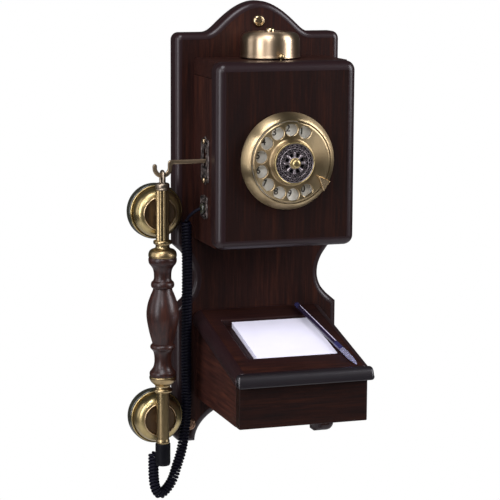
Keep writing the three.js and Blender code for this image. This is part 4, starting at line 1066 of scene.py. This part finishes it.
CUP_SHELL = [(0, 9.6), [14.9, 9.6], (15.2, 9.4), (16, 8.6), [17.4, 8.7], (19.5, 9.5), (21.5, 11.0),
             (23.2, 13.5), (24.3, 16.8), (24.8, 20), [25, 21.9], [25.1, 22.8], (25.5, 21.9), (26.1, 21.6),
             (26.7, 22), (26.8, 22.8), [26.6, 23.3], [24.5, 23.3], (23.6, 21.8), (22.6, 18), (20.2, 13.8),
             [17, 11], (0, 11)]
CUP_LIP = [[15.3, 9.5], (15.4, 8.2), (15.7, 7.5), (16.2, 7.2), (16.7, 7.4), (17.1, 8.0), [17.2, 8.6],
           (15.3, 9.5)]
CUP_DISC = [(0, 9.3), [15, 9.3], (15, 9.55), (0, 9.55)]
CUP_CAP = [(18.3, 32.0), [20.6, 31.8], (22.4, 30.4), [24.2, 23.4], (26.3, 23.4), (27.3, 23.9), (27.8, 25),
           (27.9, 26.6), (27.9, 31.8), (27.7, 33.6), (26.9, 35.2), (25.2, 36), (22.6, 36.2), (19.4, 36.2),
           (18.6, 35.9), [18.1, 35.0], (18.3, 32.0)]
CUP_FACE = {"radius": 18.25, "back": 32, "front": 34.4, "hole": 1.25,
            "rounds": ((6, 5), (12, 10), (18, 14.6))}


def perforations(height):
    """A cup's holes as outlines: one in the middle and three rounds about it."""
    places = [(0, 0)]
    for count, ring in CUP_FACE["rounds"]:
        places += [(ring * math.cos(TAU * i / count), ring * math.sin(TAU * i / count)) for i in range(count)]
    return [circle(AXIS["x"] + x, height + z, CUP_FACE["hole"], 16) for x, z in places]


def cup(prefix, height):
    at = (GRIP_AT.x, GRIP_AT.y, high(height))
    turned(f"{prefix}_bowl", CUP_SHELL, "cup_brass", "handset", "y", at, [f"{prefix}_shell"], 96)
    turned(f"{prefix}_lip", CUP_LIP, "brass", "handset", "y", at, sides=96, step=0.3)
    # The disc's dark brass is a painted dark reflection.
    turned(f"{prefix}_disc", CUP_DISC, "cup_disc", "handset", "y", at, sides=72)
    builder = lathe(bmesh.new(), flowing(CUP_CAP, 0.7), 96, "y", at)
    depths = [(0, -AXIS["y"] - CUP_FACE[side]) for side in ("back", "front")]
    slab(builder, front_face, circle(AXIS["x"], height, CUP_FACE["radius"], 72), depths, perforations(height))
    new_object(f"{prefix}_rim", builder, "bakelite", "handset", [f"{prefix}_cap"])


def handset():
    handset_eye()
    upper_rod()
    lower_rod()
    handset_grip()
    for prefix, height in CUPS.items():
        cup(prefix, height)


# ---- cord ----
CORD = {"wire": 3.1, "turn_radius": 3.9, "pitch": 3.25, "stretched": 3.35, "stretched_from": 190,
        "stretched_by": 40, "swell": 5, "taper": 4, "steps": 18}
LEAD_ROUTE = [(-73.4, -57, 248.6), (-75.4, -56.4, 247.9), (-78.6, -53.4, 245), (-81.6, -50, 241.4),
              (-83.2, -47.8, 238.6)]
COIL_ROUTE = [(-83.9, -46.6, 236.6), (-84.1, -45.6, 232), (-83.4, -43, 215.5), (-82, -40, 194.6),
              (-81.1, -37, 168.4), (-80.4, -33, 131.6), (-79.4, -28.6, 89), (-78.6, -26.4, 60),
              (-78.6, -26, 38), (-80.6, -26.4, 14.8), (-84.2, -27.4, -5.7), (-89.7, -30, -20.1),
              (-96.5, -35, -34), (-104, -39, -41.8), (-111.3, -42, -45.1), (-116.9, -45, -38),
              (-118.8, -45.6, -26.9), (-119.3, -46, -13.1), (-119.2, -46, 0.5)]


def along_line(line):
    """Distance along a line at each of its points."""
    return np.concatenate(([0], np.cumsum(np.linalg.norm(np.diff(line, axis=0), axis=1))))


def evenly(line, count):
    """The line as count points at equal distances."""
    at = along_line(line)
    wanted = np.linspace(0, at[-1], count)
    return np.column_stack([np.interp(wanted, at, line[:, k]) for k in range(3)])


def side_vectors(line):
    """Two unit vectors across the line at each point, carried along it without twist."""
    ahead = np.gradient(line, axis=0)
    ahead /= np.linalg.norm(ahead, axis=1)[:, None]
    first = np.cross(ahead[0], (0.3, 0.8, 0.5))
    firsts = []
    for direction in ahead:
        first = first - direction * np.dot(first, direction)
        first = first / np.linalg.norm(first)
        firsts.append(first)
    firsts = np.array(firsts)
    return firsts, np.cross(ahead, firsts)


def ease(value):
    value = np.clip(value, 0, 1)
    return value * value * (3 - 2 * value)


def coil_line():
    """The wire's centreline: a straight lead, then close turns about the coil's route."""
    route = through(COIL_ROUTE, 1.5)
    length = along_line(route)[-1]
    route = evenly(route, int(length / CORD["pitch"] * CORD["steps"]))
    at = np.linspace(0, length, len(route))
    side, up = side_vectors(route)
    stretch = ease((at - CORD["stretched_from"]) / CORD["stretched_by"])
    pitch = CORD["pitch"] + (CORD["stretched"] - CORD["pitch"]) * stretch
    phase = TAU * np.concatenate(([0], np.cumsum(np.diff(at) / pitch[1:])))
    radius = CORD["turn_radius"] * ease(at / CORD["swell"]) * ease((length - at) / CORD["taper"])
    coil = route + (radius * np.cos(phase))[:, None] * side + (radius * np.sin(phase))[:, None] * up
    lead = through(LEAD_ROUTE + [tuple(coil[0])], 0.7)
    return np.vstack((lead[:-1], coil))


def tube(builder, line, radius, sides):
    """A round tube about a line of points, all in millimetres, closed at both ends."""
    side, up = side_vectors(line)
    angles = np.linspace(0, TAU, sides, endpoint=False)
    rings = []
    for point, s, u in zip(line, side, up):
        places = point + radius * (np.cos(angles)[:, None] * s + np.sin(angles)[:, None] * u)
        rings.append([builder.verts.new((x * MM, y * MM, high(z))) for x, y, z in places])
    stitch(builder, rings)
    builder.faces.new(rings[0][::-1])
    builder.faces.new(rings[-1])
    return builder


def cord_outlet():
    flange = [[1.9, -73.1], (3.0, -73.4), (4.1, -73.1), (5.0, -72.2), (5.2, -71.2), [5.2, -70.7],
              [3.9, -70.7], [3.9, -58.4], [1.9, -58.4], (1.9, -73.1)]
    place = (0, LEAD_ROUTE[0][1] * MM, high(LEAD_ROUTE[0][2]))
    return turned("cord_outlet", flange, "bakelite", "cabinet", "x", place, ["cord_grommet"], 40, 0.4)


def curly_cord():
    outlet = cord_outlet()
    line = coil_line()
    builder = tube(bmesh.new(), line, CORD["wire"] / 2, 10)
    cord = new_object("cord", builder, "cord", None, ["cord_lead", "curly_cord"], sharp=80, weighted=False)
    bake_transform(cord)


# ---- materials of the CAD nodes that stay ----
INNER = {
    "bell_post": "steel", "ringer_frame": "gunmetal", "ringer_coil": "copper", "dial_can": "gunmetal",
    "dial_shaft_gear": "brass", "dial_return_spring": "steel", "governor": "brass",
    "hook_bracket": "gunmetal", "hook_pivot_pin": "steel", "hook_spring": "steel", "hook_switch": "fibre",
    "circuit_board": "fibre", "receiver_capsule": "gunmetal", "transmitter_capsule": "gunmetal",
}


def finish_inner_nodes():
    for node, material in INNER.items():
        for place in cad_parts[node].material_slots:
            place.material = MATERIAL[material]


# ---- floor and light ----
FLOOR = {"radius": 1.4, "height": -0.75}
WORLD = {"seen": 1.0, "grey": 0.05}
SOFTBOX_TINT = (0.95, 0.94, 1.0)
SOFTBOX_AIM = (0, -0.09, 0)
SOFTBOXES = {
    "left_box": {"azimuth": -60, "elevation": 14, "distance": 2.0, "width": 0.7, "height": 1.9, "power": 34},
    "right_box": {"azimuth": 58, "elevation": 22, "distance": 2.0, "width": 0.8, "height": 1.6, "power": 44},
    "key_box": {"azimuth": -35, "elevation": 60, "distance": 2.0, "width": 0.9, "height": 0.9, "power": 28},
    "front_box": {"azimuth": -26, "elevation": 24, "distance": 2.2, "width": 0.5, "height": 0.5, "power": 9},
    "side_box": {"azimuth": -102, "elevation": 16, "distance": 2.0, "width": 0.8, "height": 1.8, "power": 8},
}


def floor():
    """A pale round floor, far enough below the telephone to stay out of the main view."""
    builder = bmesh.new()
    rim = [(FLOOR["radius"] * math.cos(a), FLOOR["radius"] * math.sin(a), FLOOR["height"])
           for a in np.linspace(0, TAU, 96, endpoint=False)]
    builder.faces.new([builder.verts.new(place) for place in rim])
    mesh = bpy.data.meshes.new("floor")
    builder.to_mesh(mesh)
    builder.free()
    shader = Shader("pale_floor")
    clouds = shader.noise(shader.place(), 1.5, 3)
    shader.set(Base_Color=shader.mix(clouds, (0.7, 0.7, 0.7), (0.74, 0.74, 0.74)), Roughness=0.9)
    mesh.materials.append(shader.material)
    made = bpy.data.objects.new("floor", mesh)
    bpy.context.collection.objects.link(made)


def add_world():
    world = bpy.data.worlds.new("studio")
    world.use_nodes = True
    bpy.context.scene.world = world
    tree = world.node_tree
    background = tree.nodes["Background"]
    path = tree.nodes.new("ShaderNodeLightPath")
    strength = tree.nodes.new("ShaderNodeMapRange")
    strength.inputs["To Min"].default_value = WORLD["grey"]
    strength.inputs["To Max"].default_value = WORLD["seen"]
    tree.links.new(path.outputs["Is Camera Ray"], strength.inputs["Value"])
    tree.links.new(strength.outputs["Result"], background.inputs["Strength"])
    background.inputs["Color"].default_value = (1, 1, 1, 1)


def softbox(name, azimuth, elevation, distance, width, height, power):
    """A rectangular light that faces the aim, inside the telephone. Azimuth 0 is straight in front of it."""
    a, e = math.radians(azimuth), math.radians(elevation)
    away = Vector((math.sin(a) * math.cos(e), -math.cos(a) * math.cos(e), math.sin(e)))
    data = bpy.data.lights.new(name, "AREA")
    data.shape = "RECTANGLE"
    data.size = width
    data.size_y = height
    data.energy = power
    data.color = SOFTBOX_TINT
    light = bpy.data.objects.new(name, data)
    place = Matrix.Translation(Vector(SOFTBOX_AIM) + away * distance)
    light.matrix_world = place @ away.to_track_quat("Z", "Y").to_matrix().to_4x4()
    bpy.context.collection.objects.link(light)


bpy.context.scene.view_settings.view_transform = "Standard"
add_camera()
curly_cord()
backboard()
board_screws()
front_panel()
box_boards()
desk_top()
desk_moulding()
desk_boards()
note_pad()
pen()
bell()
clapper()
dial_bezel()
number_plate()
finger_wheel()
medallion_ring()
medallion()
medallion_boss()
finger_stop()
hook_lever()
side_plates()
handset()
finish_inner_nodes()
floor()
add_world()
for box_name, box in SOFTBOXES.items():
    softbox(box_name, **box)
